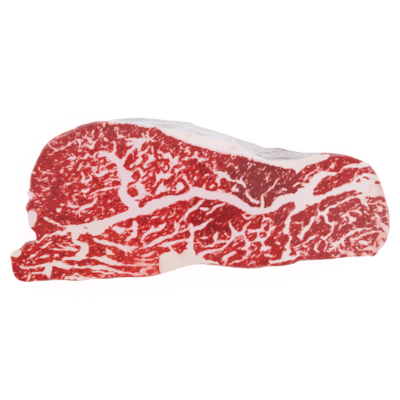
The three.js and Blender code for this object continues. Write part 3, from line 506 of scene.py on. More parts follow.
# Lean that lies as islands and rings in the fat, set out in the same way.
LEAN_ISLANDS = [
    [(-60.6, -20.2, .9), (-58.4, -19.9, 1.3), (-56.6, -18.4, 3.2), (-54.6, -18, 2.4)],
    [(-58, -20.6, 1), (-55, -20.4, 1.2)],
    [(-52.5, -18.2, .7), (-52, -18.1, .6)],
    [(-50.2, -18.4, 1.8), (-48.8, -18.2, 2.6), (-48, -16.4, .9), (-46.4, -15.4, 1.6), (-44.4, -15, 1.5)],
    [(-45.6, -13.2, .8), (-45, -13.4, .7)],
    [(-46, -18.4, 1.4), (-43.6, -19, 3), (-41, -18.6, 3.2), (-38, -18, 3), (-36.8, -17.4, 1.2)],
    [(-35.4, -15.2, .7), (-33.8, -15.3, .7)],
    [(-43, -12.6, .7), (-40.4, -12, 1.4), (-37.8, -12, 2.2), (-35.6, -12, 2.4)],
    [(-36, -21.4, 1.2), (-33.4, -20.6, 2.8), (-31.4, -20.2, 2.6), (-30, -18.4, .9)],
    [(-26.8, -18.8, 2), (-25, -19.6, 2.6)],
    [(-56.2, -27.6, 1.4), (-54, -26.4, 3.6), (-52, -25, 5.2), (-49.6, -24.8, 4.2), (-49.2, -27, 2.4)],
    [(-46, -23.9, .7), (-43.4, -23.8, 1.2), (-41.6, -25, 2), (-39.4, -25.8, 2)],
    [(-46, -28.2, .7), (-43.6, -28.2, 2.2), (-41, -29.2, 3.2), (-38.8, -30.5, 2.4), (-36.6, -31.3, 1.2),
     (-32, -31.2, .6)],
    [(-66, -31.3, 2), (-63, -31.4, 1.7), (-61.4, -31.2, .6), (-59.6, -31, 1.8), (-56, -30.7, 2.8),
     (-52.6, -30.9, 2.6), (-50, -31.2, 1.4), (-45.4, -31.9, .5)],
    [(-46.2, -33.1, .5), (-43, -33.4, 1.1), (-39.6, -34, 2), (-36, -34.4, 2.4), (-33, -34.8, 1.8),
     (-30.6, -34.6, .8)],
    [(-66.4, -36.4, 2.4), (-63, -35.4, 2.2), (-60, -35, 1.8), (-57, -34.9, 1.4), (-54.4, -35, .6)],
    [(-68, -26.7, 1), (-65.6, -26.8, 1.8), (-63.2, -26.7, 2)],
    [(-66, -22.9, .8), (-62.6, -23.5, 1.2), (-60.6, -23.4, 1)],
    [(-57.6, -13.9, 1), (-56.6, -13.8, .8)],
    [(-44.5, 30.3, 1.5), (-42, 32, 1.7)],
    [(-39.4, 30, 4), (-39.3, 27, 5), (-39.2, 24.4, 4.6), (-39.8, 22.2, 2)],
    [(-37.5, 26.8, 2.4), (-35.6, 26.6, 1.6), (-34.6, 27.6, .8), (-33.6, 28, .6)],
    [(-31.8, 25.8, .9), (-32.2, 23.1, 1.6), (-32.4, 20, 1.3)],
    [(-34.4, 22.2, 2.4), (-35.3, 20.6, 3), (-36.4, 18.4, 2.6), (-37.8, 17.5, 1)],
    [(-36.4, 17.6, 2), (-35.6, 15.8, 1.6), (-33.8, 16.4, 1.7), (-31.6, 17, 1.1), (-29.5, 18, 1.1),
     (-28.2, 19.4, 1.3), (-27, 21, 1.1), (-26.2, 22.4, .8)],
    [(-31.2, 21.9, .9), (-32.4, 20.4, 1.2), (-33.5, 19.2, 1), (-34, 18.5, .8)],
    [(-33.3, 11.6, 1.4), (-32.9, 14, 1.4), (-31.3, 14.6, 1.3), (-30.3, 13.4, 1.5), (-30.8, 11.8, 1.4),
     (-32, 10.4, 1.6), (-33.2, 11.4, 1.4)],
    [(-28.9, 25.6, 1.1), (-28.4, 27.6, 1.4), (-27, 28.8, 1.3), (-26, 28, 1.2), (-27, 26.4, 1.2),
     (-28.4, 25.6, .9)],
    [(-24.8, 29.4, 1.2), (-24.6, 27.6, 1), (-24.9, 25.6, 1), (-24.4, 23.6, 1.1)],
    [(-23.4, 28.4, 1.4), (-22, 27.2, 2.6), (-21.9, 25, 2), (-22, 22.6, 1.9), (-21.8, 20.6, 1.7),
     (-23, 18.4, 1.5)],
    [(-21.4, 28.8, 1.8), (-19.8, 27.8, 1.9), (-18.2, 27.6, 1.6)],
    [(-20.4, 26, 1.8), (-19, 25.4, 1.3)],
    [(-18.2, 25, 1.8), (-16.4, 25.2, 2), (-15.4, 25.6, 1.4)],
    [(-21.5, 23, 1), (-20, 23, 1.2), (-19.3, 22, 1)],
    [(-29.4, 22.4, .9), (-28, 22.7, 1.1), (-26.8, 23.8, 1), (-25.4, 24.6, .9)],
    [(-28.3, 22.2, 1.2), (-27.7, 20.4, 1.3)],
    [(-25.8, 18.2, 1), (-23.4, 19.5, 1.3), (-21.3, 20, 1.6), (-18.8, 20.6, 1.2), (-16.6, 20.6, 1),
     (-15.6, 19.6, .9)],
    [(-27.6, 15.3, 1.3), (-25.6, 16, 1.1), (-24.4, 17, 1.8), (-22.4, 18.4, 1.7)],
    [(-27.6, 15.4, 1.1), (-28.6, 16.2, 1.1), (-29.6, 17.6, 1.3)],
    [(-28.6, 11.6, .8), (-26.7, 13, 1), (-25, 14.4, 1), (-22.9, 15.6, 1.1)],
    [(-23.2, 15.2, 1.2), (-22.9, 12.7, 1.3), (-22.9, 10.3, 1.2), (-23.4, 8.4, .9)],
    [(-22, 17.6, 1.2), (-21.3, 16, 1.6), (-21.2, 14, 1.3)],
    [(-20.6, 16.4, .8), (-20.1, 15, .8)],
    [(-26, 12.6, .8), (-24.6, 11.6, 1), (-23.4, 11, 1)],
    [(-26.8, 10.2, 1.1), (-25.2, 10.8, 1), (-23.8, 10, 1)],
    [(-29, 9.6, 1.4), (-27.4, 9.2, 1.3), (-26, 9.8, .8)],
    [(-27.4, 7.9, .9), (-26, 8.4, .9), (-24.8, 9.4, .8)],
    [(-26.8, 6.6, .9), (-25.4, 6.8, .9), (-24.2, 8, .8)],
    [(-26.8, 5.4, .7), (-25, 5.4, .9), (-23.8, 6.6, .8)],
    [(-23.6, 4, 1.8), (-22.6, 5.8, 2.3), (-21.4, 7.6, 1.4), (-20, 9.4, 1.2), (-18.6, 10.9, 1.3)],
    [(-18.6, 16, 1.4), (-17.8, 17.6, 1.2), (-16.2, 18.4, 1.2), (-15.7, 17, 1), (-16.4, 15.4, 1.2),
     (-17.9, 14.8, 1.3)],
    [(-20.9, 18, .9), (-19.4, 18.6, 1.1), (-18, 19.4, 1.1), (-16.6, 19, 1.2)],
    [(-29.5, -2.3, 1.9), (-27.5, 0.3, 2.2), (-26, 1.7, 1.4)],
    [(-36, 5.2, 1.4), (-34.4, 5.6, 2), (-32.6, 5.2, 1.9), (-32, 3.4, 1.9), (-33.4, 2.6, 2), (-35, 4, 2)],
    [(-36.2, 7, 1), (-35.2, 8.3, 1.2), (-33.6, 8.8, .9), (-32.6, 9.1, .7)],
    [(-21, 2.3, 1.5), (-18, 3, 2.5), (-15, 3.9, 2.1), (-12.4, 3.8, 2.1), (-9.8, 4.2, 2.2), (-7.6, 5.2, 2.4),
     (-6.6, 6.8, 2.2), (-7, 8.4, 1.8), (-8.7, 9.9, 1.5), (-11, 10.5, 1.3)],
    [(-12.4, 5.8, 1.1), (-13, 7.6, 1.1), (-11.8, 9.4, 1.1)],
    [(-17.6, 10.4, 1.4), (-17.2, 8.6, 2.2), (-15.4, 10.2, 2.4), (-13.2, 10.6, 2)],
    [(-16.6, 6.6, 1), (-15, 8, 1), (-14, 9.2, 1)],
    [(-14.8, 5.6, 1.1), (-13.8, 7, 1)],
    [(-13.6, 14.2, 1.3), (-13, 12.4, 1.4), (-12.6, 11, 1.4)],
    [(-12.4, 11, 1.2), (-11.6, 12.2, 1.1), (-10.4, 13.4, 1.4), (-9, 14.5, 1.6), (-7.3, 14.5, 1.7),
     (-5.4, 14.2, 2)],
    [(-13.9, 16, 1.1), (-11.8, 17, 1.4), (-10.1, 17.4, 1.4), (-9.6, 19, 1)],
    [(-7.2, 22.8, 1), (-9, 21.4, 1.1), (-9.8, 20, 1), (-9.4, 18.4, 1.1), (-7.8, 19.2, 2.2), (-6.4, 18, 2)],
    [(-7.6, 23.6, 1.6), (-5.6, 23, 2.6), (-3.9, 23.4, 1.8)],
    [(-5.2, 19.6, 2.6), (-2.4, 19.8, 3), (-3.4, 17.4, 4.6), (0.4, 17.6, 4.6), (2, 18.6, 2.4)],
    [(-6, 14.6, 2.2), (-2.6, 15, 3.2), (1, 14.8, 3.4), (4, 14.8, 2.2), (5.2, 15.2, 1)],
    [(-5.9, 13.2, 1.6), (-5.6, 11.4, 1.8), (-4, 9.8, 1.9), (-2.6, 8.2, 1.8), (-1, 8.6, 2), (0.4, 10, 2.2),
     (0.8, 12.6, 2)],
    [(-3.4, 12.2, .9), (-1.6, 12.6, 1.1), (-1, 11, 1.4)],
    [(1.6, 10.2, 1.6), (4.4, 10.8, 3), (6.4, 10.8, 2.2), (7.4, 12, 1.4), (8.6, 12.4, 1.2)],
    [(3.4, 7.2, 1.5), (4, 6, 1.6), (5.6, 5.6, 1.5), (7.4, 6.4, 1.5), (8, 7.8, 1.3), (7, 9, 1.2),
     (5, 9.2, 1.4), (3.6, 8.2, 1.4)],
    [(5, 13.6, 1), (6, 14.3, .9), (6.9, 13, 1)],
    [(-11.8, 26.2, 2), (-11.4, 24, 1.6), (-11.9, 22.9, .8)],
    [(-14.3, 24, 1.1), (-13.6, 22.6, 1.2), (-13.3, 21.6, .8)],
    [(-15, 27.8, 1.8), (-13, 28.6, 2.2)],
    [(-18, 20.5, .9), (-17.6, 18.8, .8)],
    [(10.4, 10, 1.3), (12, 11, 1.5), (12.8, 9.4, 1.3)],
    [(10.6, 7, 2.2), (13, 7.5, 2.8), (16, 8.4, 2.2), (17.6, 9, .8)],
    [(13, 5.6, 1.8), (15.5, 4.9, 1.2)],
    [(19.8, 7, 1.5), (21.5, 6.3, 2), (22, 4.8, .8)],
    [(18, 3.5, 2.2), (20.5, 2.8, 2), (22.5, 1, 2.2), (25, -1, 2), (27.2, -2.5, 1.5)],
    [(25.6, 4.4, 2), (28.6, 2.2, 2.4)],
    [(33.4, -1, 3.2), (34, 1.4, 3), (36.5, 4.4, 4), (38.4, 6.4, 2.4)],
    [(44.6, 5, 2.2), (47, 6, 1.8), (50, 6.8, 1.6), (51.4, 7.2, 1)],
    [(57.6, 3.6, 2.6), (60, 5, 4), (63, 7, 4.6), (67, 9.6, 5), (73, 12.4, 5)],
    [(-10, -13.7, 1.3), (-7.5, -12.5, 1.3), (-5.6, -11.8, .8)],
    [(-12.5, -18, 1.4), (-9, -17.3, 2.6), (-6.8, -16.8, 2.8)],
    [(-8.6, -21.8, 1.4), (-7, -21, 1.1)],
    [(-13, -22.6, 1.4), (-11.4, -21.9, 1.2)],
    [(-12.2, -24.2, 1.6), (-10.4, -23.6, 2.2), (-8.6, -24, 1.8)],
    [(-11.6, -25.4, 1.2), (-10, -25.8, 1.1), (-8.8, -25, .9)],
    [(9, -22.4, 1.3), (10.6, -21.9, 1.8), (12, -21.4, .9)],
    [(1, -23.9, .5), (6, -23.9, .8), (11, -23.2, .6)],
    [(-1.2, -22.6, 2.8), (-1.5, -25.2, 2), (-1.8, -26.9, .8)],
    [(-2.4, -19.4, 1.5), (-0.6, -18.9, 2)],
    [(23.4, -6.9, .9), (24.8, -7.3, 1)],
    [(22.9, -15.4, .9), (23.2, -17, 1.1), (24, -18.2, 1.8)],
    [(24.8, -18.2, 2.6), (25.4, -18.7, 2.6)],
    [(26, -17.6, 1.4), (26.8, -17, 1.2)],
    [(27.4, -16.4, 2), (27.6, -16.6, 2)],
    [(30.9, -17.5, 2.5), (31.8, -16.6, 2.5)],
    [(33.4, -11, 2.4), (33.5, -13, 2.1), (33.6, -14.5, 1.1)],
    [(33.2, -7.8, 1.1), (34.8, -7.6, 1)],
    [(29.8, -8.8, 2), (29.4, -10.8, 3.6), (28.8, -12.6, 2.2)],
    [(26.4, -10.8, 1.6), (25.6, -12.8, 1.3), (24.8, -14, .7)],
    [(27.6, -21.4, 1), (29, -21.2, 1.5), (30, -22.2, 1.3), (29.3, -23.6, 1.4)],
    [(24.9, -23.8, 1.2), (25.6, -22.9, 1.2), (26.5, -23.2, 1), (25.8, -24.2, .9)],
    [(37.5, -10.6, 3.8), (40, -8.5, 5.6), (42.2, -6.6, 3.8)],
    [(38, -6.2, 1.6), (41, -4.6, 3.2), (44, -3, 3.4), (46.4, -2, 2.6)],
    [(33.8, -21.2, 2.8), (35.4, -20.8, 3.2), (36, -17.6, 2.4), (37.6, -15.6, 2.2), (40.4, -13.2, 2.4),
     (42, -12.2, 1.4)],
    [(35, -19.6, 2.4), (34.6, -18.4, 2)],
    [(38.6, -19.4, 1.3), (39.6, -18.2, 1.5), (41.4, -16.4, .9)],
    [(41.4, -21.8, 2.8), (43, -19.2, 2.8)],
    [(36.8, -22.6, 2.6), (38.4, -23.4, 3)],
    [(38, -26.4, 2.6), (39.2, -27.4, 2.4)],
    [(40, -25.4, 1), (41.6, -25, 1.4), (43, -24.6, 1)],
    [(45.9, -26.8, 1.6), (47.2, -26, 1.7)],
    [(47.4, -8.8, 3), (50.6, -7.2, 3.4), (53.4, -7.6, 3.8), (53, -10.8, 3)],
    [(46.8, -10.6, 1.3), (46.6, -12.4, 1.1)],
    [(49.4, -12.6, 2.4), (49, -15, 2.8), (48.8, -16.6, 1.4)],
    [(45.8, -16.4, 1.8), (46.6, -14.8, 1.8)],
    [(46, -20.8, .8), (47.4, -20.8, 3.2), (48.4, -19, 2.2)],
    [(52.6, -18.4, 2.4), (53.9, -17.8, 2.4)],
    [(54.4, -3.8, 1.8), (56.6, -3.8, 2), (58.2, -3.4, 1)],
    [(55.4, -6, 1.4), (57.2, -6.9, 2), (58.4, -6.6, 1)],
    [(60.4, -3.6, 2), (61.4, -3.4, 3), (62.6, -1.6, 3), (64, 0.8, 2.6), (67, 1.4, 2.4), (70, 2.3, 2.4),
     (74, 3.8, 1.8), (78, 5, .8)],
    [(67.2, -0.6, 1.2), (68, -1, 1)],
    [(77.4, 2.4, .4), (78.4, 3.2, .6), (79.6, 4.4, .4)],
    [(60.9, -8.8, 2.2), (60.4, -11, 3.4), (62.4, -12.6, 3), (64.6, -13.2, 2)],
    [(55.8, -15.2, 2.4), (58.6, -14.2, 3.4), (62.4, -15.2, 4)],
    [(65.4, -6.8, 3.2), (66.6, -5, 3), (68, -8.4, 3.6), (69.6, -5.2, 3.4), (71.4, -4, 2)],
    [(72.6, -1.8, 2.1), (73.8, -1.9, 1.9)],
    [(75.6, -4.2, .9), (75.6, -2.4, 1), (76.6, -1.4, 1), (77.2, -2.8, 1), (76.6, -4, 1)],
    [(76.5, 0.2, .7), (78, 0.8, 1), (79.4, 0.6, 1.1), (79.8, -1, .8)],
    [(78.3, -3.6, 1.2), (80, -2.8, 1.8), (81.6, -3, 1.4), (83.2, -3.7, .8)],
    [(85.4, -3.4, 2), (87.2, -3.7, 2.5), (88.4, -3.6, 1)],
    [(83.4, 1.5, .7), (85, 1.6, .8)],
    [(83.8, -0.4, .6), (85.6, -0.8, .9), (87.4, -0.4, .6)],
    [(87.6, 1, 1.2), (90, 0.8, 2.2), (92, 0.2, 1.6)],
    [(89.2, -1.9, .5), (91.4, -2.4, .8), (92.8, -3.6, .8)],
    [(77.4, -11.2, 1.6), (79.4, -11.2, 2)],
    [(72, -13, 1.8), (74, -12.8, 2.6), (76, -13.2, 2)],
    [(76, -17.6, .8), (79, -17, .9)],
    [(82, 11.5, 1), (84.4, 11.3, .8)],
    [(78.4, 9.8, .6), (79.6, 10, 1.1)],
    [(88.6, 9, 1.8), (89.6, 8.8, 1.4)],
    [(80, 15, 1.8), (83, 15.6, 2.4), (86, 15.2, 2.6)],
]

# A band is followed in this many steps from point to point and felt this far (mm). Its edges wander a little,
# in wide swells and in small ones.
PATH_STEPS = 6
BAND_REACH = 6.0
WANDER_WIDE, WANDER_SMALL = 0.12, 0.17
ragged_x = WANDER_WIDE * soft_noise(41, 3.4) + WANDER_SMALL * soft_noise(42, 1.3)
ragged_y = WANDER_WIDE * soft_noise(43, 3.4) + WANDER_SMALL * soft_noise(44, 1.3)
torn_x, torn_y = face_x + ragged_x, face_y + ragged_y


def patch_round(x, y, reach):
    """The rows and columns of the face that lie within reach of a place."""
    column, row = int((x + HALF_X) / CELL), int((y + HALF_Y) / CELL)
    cells = int(reach / CELL)
    rows = slice(max(row - cells, 0), min(max(row + cells, 0), len(row_y)))
    columns = slice(max(column - cells, 0), min(max(column + cells, 0), len(column_x)))
    return rows, columns


def smooth_path(points):
    """A round path through the points of a seam."""
    p = np.array(points, float)
    p = np.vstack([2 * p[0] - p[1], p, 2 * p[-1] - p[-2]])
    path = [
        0.5 * (2 * b + (c - a) * t + (2 * a - 5 * b + 4 * c - d) * t ** 2 + (3 * b - a - 3 * c + d) * t ** 3)
        for a, b, c, d in zip(p, p[1:], p[2:], p[3:]) for t in np.arange(PATH_STEPS) / PATH_STEPS
    ]
    return np.array(path + [p[-2]])


def depth_in(strokes):
    """How deep each place lies inside the strokes, in mm, and how far outside them below 0."""
    deepest = np.full(face_x.shape, -BAND_REACH)
    for stroke in strokes:
        path = smooth_path(stroke)
        for (x0, y0, w0), (x1, y1, w1) in zip(path, path[1:]):
            rows, columns = patch_round((x0 + x1) / 2, (y0 + y1) / 2, BAND_REACH + max(w0, w1))
            dx, dy = torn_x[rows, columns] - x0, torn_y[rows, columns] - y0
            run_x, run_y = x1 - x0, y1 - y0
            share = np.clip((dx * run_x + dy * run_y) / (run_x ** 2 + run_y ** 2 + 1e-9), 0, 1)
            depth = (w0 + (w1 - w0) * share) / 2 - np.hypot(dx - run_x * share, dy - run_y * share)
            deepest[rows, columns] = np.maximum(deepest[rows, columns], depth)
    return deepest


seams = depth_in(MAIN_SEAM + UPRIGHT_BRANCH + DARK_MUSCLE_SEAMS + LEFT_LOBE_THREADS + TORN_FAT + FLAP_STREAKS
                 + LOWER_MIDDLE_SEAMS + RIGHT_MUSCLE_SEAMS)
pockets = depth_in(CREAM_POCKETS)
pockets = np.where(face_x < POCKET_CUT + POCKET_RAGGED * ragged_y, -BAND_REACH, pockets)
lean_islands = depth_in(LEAN_ISLANDS)
fat = np.maximum(seams, pockets)

# The fat cap
# Along the outer side lies a layer of back fat. The cut shows it plain and white, and its own skin, a grey
# and glossy membrane, covers the side of the slice. The meat meets the fat at the edge and the cut face ends
# at the rim, where that skin begins: both are runs of x and y (mm).
CAP_EDGE = [
    (-95, 50), (-60, 43), (-50, 40.5), (-46, 38.2), (-40, 37.6), (-36, 38.2), (-33, 37.3), (-30, 36.8),
    (-25, 36.2), (-22, 36.4), (-20, 34.5), (-17, 33.2), (-13, 31.8), (-10, 30.2), (-7, 29.2), (-3, 27.8),
    (0, 27.2), (5, 25.3), (10, 24.3), (15, 23.2), (20, 22.2), (26, 20.3), (33, 18.7), (38, 17.4), (45, 16),
    (47.9, 15.6), (48.4, 12.6), (50, 14), (52, 16.5), (54, 17.8), (58, 18.8), (61, 19.8), (64, 21.2),
    (68, 25), (95, 40),
]
CAP_RIM = [
    (-95, 50), (-74, 33), (-68, 33), (-62, 37), (-56, 39.4), (-50, 40.4), (-45, 39.6), (-41, 38.8),
    (-36, 38.7), (-28, 37.2), (-22, 36.8), (-15, 35.6), (-10, 34.6), (-5, 33.6), (0, 32.6), (5, 31.6),
    (10, 30.4), (15, 28.8), (20, 26.4), (25, 24), (28, 22.6), (31, 20.8), (35, 20), (46, 20), (50, 20.4),
    (54, 21.6), (60, 22.2), (66.5, 23), (72, 27), (95, 40),
]

edge_x, edge_y = np.array(CAP_EDGE).T
cap = torn_y - np.interp(torn_x, edge_x, edge_y)
fat = np.maximum(fat, cap)

# The layout on the body
# The seams and bundles run down through the slice, a little aslant, so the sides show them as upright streaks
# and the underside repeats the face with everything a little moved.
SLANT_X, SLANT_Y = 0.10, -0.06
SWAY = 0.9
SWAY_DEPTHS, SWAY_LENGTHS = (5, 6), (13, 9)
FACE_SWELLS = 1.5
FAT_RELIEF = 0.24
SMALL_RELIEF = 0.05
SIDE_RELIEF = 0.2
SIDE_SHARE = 0.6
THIN_SKIN, SILVER_SKIN = 0.1, 0.16
BUNDLE_TURN = 0.12
DRIED_X, DRIED_REACH = 42, 14

# Small turns of the outline, where the knife left corners and nicks: centre x and y, reach in x and in y, and
# how far the edge moves in x and in y (mm).
EDGE_TURNS = [
    (-64, 36, 12, 6, 0.6, -1.2),
    (-52, 40, 7, 4, 0, -0.7),
    (-11, 39, 8, 4, 0, 0.6),
    (-5, 38.4, 1.6, 1.6, 0, 0.6),
    (32, 25, 4, 4, 0, -0.7),
    (60, 23, 9, 5, 0, -0.8),
    (-60, -40, 40, 8, 0, -0.6),
    (10, -33, 45, 6, 0, -0.6),
    (70, -30, 22, 6, 0, -0.5),
    (-92, -38, 6, 6, -0.5, -1.0),
    (-94.5, -28, 3, 2, -0.8, 0),
    (-92, -24, 3, 2.5, 0, -1.1),
    (-88, -22, 2, 2, -0.3, 0.3),
    (-82, -20, 2.5, 2.5, -0.8, 0),
    (-84.5, -19.5, 4, 3, 1.5, -1.5),
    (-87, -3.5, 4, 3.5, -1.2, 0),
    (-87, 2.8, 3, 1.6, -1.4, 0),
    (-86.5, -10, 3, 4, -0.6, 0),
    (91, -24, 5, 5, 1.2, -1.2),
    (88, -27.6, 2.6, 2, 0.1, -0.8),
    (91, -26, 2, 2, -0.5, 0.4),
    (94.6, -15.5, 2.4, 3, 0.5, 0),
]


def sample(field, x, y):
    """The field's value at any place of the face."""
    across = np.clip((x + HALF_X) / CELL - 0.5, 0, len(column_x) - 1.001)
    up = np.clip((y + HALF_Y) / CELL - 0.5, 0, len(row_y) - 1.001)
    column, row = across.astype(int), up.astype(int)
    right, above = across - column, up - row
    lower = field[row, column] * (1 - right) + field[row, column + 1] * right
    upper_row = field[row + 1, column] * (1 - right) + field[row + 1, column + 1] * right
    return lower * (1 - above) + upper_row * above


def ease(value, low_end, high_end):
    """0 below the low end, 1 above the high end and smooth in between."""
    share = np.clip((value - low_end) / (high_end - low_end), 0, 1)
    return share * share * (3 - 2 * share)


places = np.empty((len(beef.vertices), 3), np.float32)
beef.vertices.foreach_get("co", places.ravel())
outward = np.empty((len(beef.vertices), 3), np.float32)
beef.vertex_normals.foreach_get("vector", outward.ravel())
x, y, z = (places / MM).T.astype(float)
for at_x, at_y, reach_x, reach_y, push_x, push_y in EDGE_TURNS:
    nearness = np.exp(-((x - at_x) / reach_x) ** 2 - ((y - at_y) / reach_y) ** 2)
    x = x + push_x * nearness
    y = y + push_y * nearness
depth = np.maximum(top / MM - FACE_SWELLS - z, 0)
sway = SWAY * np.minimum(depth / 6, 1)
laid_x = x + SLANT_X * depth + sway * np.sin(depth / SWAY_DEPTHS[0] + x / SWAY_LENGTHS[0])
laid_y = y + SLANT_Y * depth + sway * np.sin(depth / SWAY_DEPTHS[1] + y / SWAY_LENGTHS[1])
fat_here = sample(fat, laid_x, laid_y)

# Fat stands a little proud of the lean on a cut face, and the sides swell and sink a little all along. The
# lower face is pressed flat by the slice's own weight.
upright = 1 - ease(np.abs(outward[:, 2]), 0.35, 0.8)
raised = FAT_RELIEF * ease(fat_here, -0.5, 0.7) + SMALL_RELIEF * soft_noise(51, 1.6, laid_x, laid_y)
raised = raised - FAT_RELIEF / 2
round_side = (x + y) * SIDE_SHARE
raised = raised * (1 - upright) + upright * SIDE_RELIEF * soft_noise(52, 3, round_side, z)
places = np.array([x, y, z]).T + outward * raised[:, None]
places[:, 2] = np.maximum(places[:, 2], 0)
beef.vertices.foreach_set("co", (places * MM).astype(np.float32).ravel())
beef.update()

# The membrane covers all beyond the rim, and the other sides have a thin silver skin in patches. Both fade
# out towards the left end.
rim_x, rim_y = np.array(CAP_RIM).T
past_rim = ease(y - np.interp(x, rim_x, rim_y), -0.3, 0.7)
silver = ease(soft_noise(53, 4, round_side, z * 0.5), -0.6, 1.2)
skin = np.maximum(past_rim, (THIN_SKIN + SILVER_SKIN * silver) * upright) * ease(x, -62, -44)


def paint(mesh, name, values):
    """Stores one number for each of the mesh's vertices, which the finish reads by name."""
    mesh.attributes.new(name, "FLOAT", "POINT").data.foreach_set("value", values.astype(np.float32))


flow = [sample(along_bundles, laid_x, laid_y), sample(across_bundles, laid_x, laid_y), BUNDLE_TURN * depth]
flow = np.array(flow, np.float32).T.ravel()
beef.attributes.new("flow", "FLOAT_VECTOR", "POINT").data.foreach_set("vector", flow)
for name, amount in zip(("flecks", "cobbles", "islands", "streaks", "tone", "dull"), amounts):
    paint(beef, name, sample(amount, laid_x, laid_y))
paint(beef, "fat", fat_here)
paint(beef, "lean", sample(lean_islands, laid_x, laid_y))
paint(beef, "cream", sample(ease(pockets, -0.5, 0.5), laid_x, laid_y))
cap_here = sample(cap, laid_x, laid_y)
paint(beef, "cap", cap_here)
paint(beef, "skin", skin)

# The fat is paler to the right. It is beige at the cap's right end, in the flap and most at its torn tip. The
# membrane gets painted shade low on the side, towards the table, and has dried out in one place.
paint(beef, "pale", ease(x, 15, 60))
cap_end = ease(x, 36, 50) * ease(cap_here, -0.5, 1)
torn_tip = ease(-x, 88, 90) * ease(-y, 20, 24) * 2
flap = ease(-x, 38, 50) * ease(-y, 4, 10)
paint(beef, "beige", cap_end + torn_tip + flap)
# Painted shade: how much the membrane darkens towards the bottom of the side, where the slab meets the table.
paint(beef, "low_painted_shade", upright * ease(-z, -22, -6))
paint(beef, "dried", np.exp(-((x - DRIED_X) / DRIED_REACH) ** 2))

# The finish
# Moist raw beef: the lean is a dull deep red that turns bright where it meets fat, the fat a soft pinkish
# white and the membrane on the cap a cold grey white with fine lines along it. All has a low wet sheen.
BRIGHTEST = 255


def shade_of(red, green, blue):
    """A colour given as it looks on a screen, from 0 to 255."""
    parts = [c / BRIGHTEST for c in (red, green, blue)]
    return (*[c / 12.92 if c <= 0.04045 else ((c + 0.055) / 1.055) ** 2.4 for c in parts], 1)


class Shade:
    """A socket of a material's nodes. Sums on it add Math nodes, so a pattern is written as a sum."""

    def __init__(self, tree, socket=None):
        self.tree, self.socket = tree, socket

    def add(self, kind, settings=None, sockets=None, output=0):
        """Adds a node: first its settings, then the values or links of its sockets."""
        new = self.tree.nodes.new(kind)
        for name, value in (settings or {}).items():
            setattr(new, name, value)
        for name, value in (sockets or {}).items():
            if isinstance(value, Shade):
                self.tree.links.new(value.socket, new.inputs[name])
            else:
                new.inputs[name].default_value = value
        return Shade(self.tree, new.outputs[output])

    def maths(self, operation, *terms):
        return self.add("ShaderNodeMath", {"operation": operation}, dict(enumerate(terms)))

    def __add__(self, other):
        return self.maths("ADD", self, other)

    def __sub__(self, other):
        return self.maths("SUBTRACT", self, other)

    def __rsub__(self, other):
        return self.maths("SUBTRACT", other, self)

    def __mul__(self, other):
        return self.maths("MULTIPLY", self, other)

    __radd__, __rmul__ = __add__, __mul__

    def most(self, other):
        return self.maths("MAXIMUM", self, other)

    def least(self, other):
        return self.maths("MINIMUM", self, other)

    def eased(self, low_end, high_end):
        """0 below the low end, 1 above the high end and smooth in between."""
        return self.add("ShaderNodeMapRange", {"interpolation_type": "SMOOTHSTEP"},
                        {"Value": self, "From Min": low_end, "From Max": high_end})

    def stretched(self, shares):
        """These coordinates, each times its share."""
        return self.add("ShaderNodeMapping", None, {"Vector": self, "Scale": shares})

    def noise_there(self, scale, detail, output=0):
        """Noise on these coordinates, about 0.5, its swells 1 / scale apart."""
        sockets = {"Vector": self, "Scale": scale, "Detail": detail}
        return self.add("ShaderNodeTexNoise", None, sockets, output)

    def noise(self, scale, detail, shares=(1, 1, 1)):
        """Noise on the object's own coordinates, in metres."""
        return self.add("ShaderNodeTexCoord", output="Object").stretched(shares).noise_there(scale, detail)

    def painted(self, name, output="Fac"):
        return self.add("ShaderNodeAttribute", {"attribute_name": name}, output=output)

    def bundles(self, length, width):
        """How far a place is from the middle of its cell. The cells lie along the flow, with sizes in mm."""
        where = self.stretched((1 / length, 1 / width, 1))
        return self.add("ShaderNodeTexVoronoi", None, {"Vector": where, "Scale": 1})

    def luck(self):
        """A number from 0 to 1 that each of the cells has to itself."""
        return self.add("ShaderNodeSeparateColor", None, {"Color": self.other("Color")})

    def other(self, output):
        """Another output of the same node."""
        return Shade(self.tree, self.socket.node.outputs[output])

    def between(self, first, second):
        """The colour between two, as this value goes from 0 to 1."""
        return self.add("ShaderNodeMix", {"data_type": "RGBA"}, {0: self, 6: first, 7: second}, output=2)


LEAN_INSIDE = shade_of(140, 14, 26)
LEAN_BORDER = shade_of(212, 30, 34)
LEAN_DARK = shade_of(110, 16, 24)
LEAN_BRIGHT = shade_of(222, 62, 50)
LEAN_DULL = shade_of(172, 80, 82)
LEAN_FRESH = shade_of(224, 72, 66)
# A painted highlight: the colour of the small wet glints painted on the lean.
PAINTED_GLINT = shade_of(246, 150, 140)
FAT_BORDER = shade_of(247, 162, 160)
FAT_BLUSH = shade_of(232, 168, 158)
FAT_WHITE = shade_of(236, 212, 218)
FAT_PALE = shade_of(240, 226, 226)
CAP_WHITE = shade_of(244, 231, 232)
FAT_CREAM = shade_of(234, 219, 210)
FAT_PEACH = shade_of(236, 200, 182)
SKIN_GREY = shade_of(230, 228, 232)
# The darker grey of the membrane's own lines, also used as its painted shade low on the side.
SKIN_LINES_AND_SHADE = shade_of(186, 176, 182)
SKIN_DRIED = shade_of(202, 190, 197)
SKIN_SPOTS = shade_of(122, 98, 96)

finish = bpy.data.materials.new("marbled_beef")
finish.use_nodes = True
tree = finish.node_tree
surface = tree.nodes["Principled BSDF"]
mixer = Shade(tree)

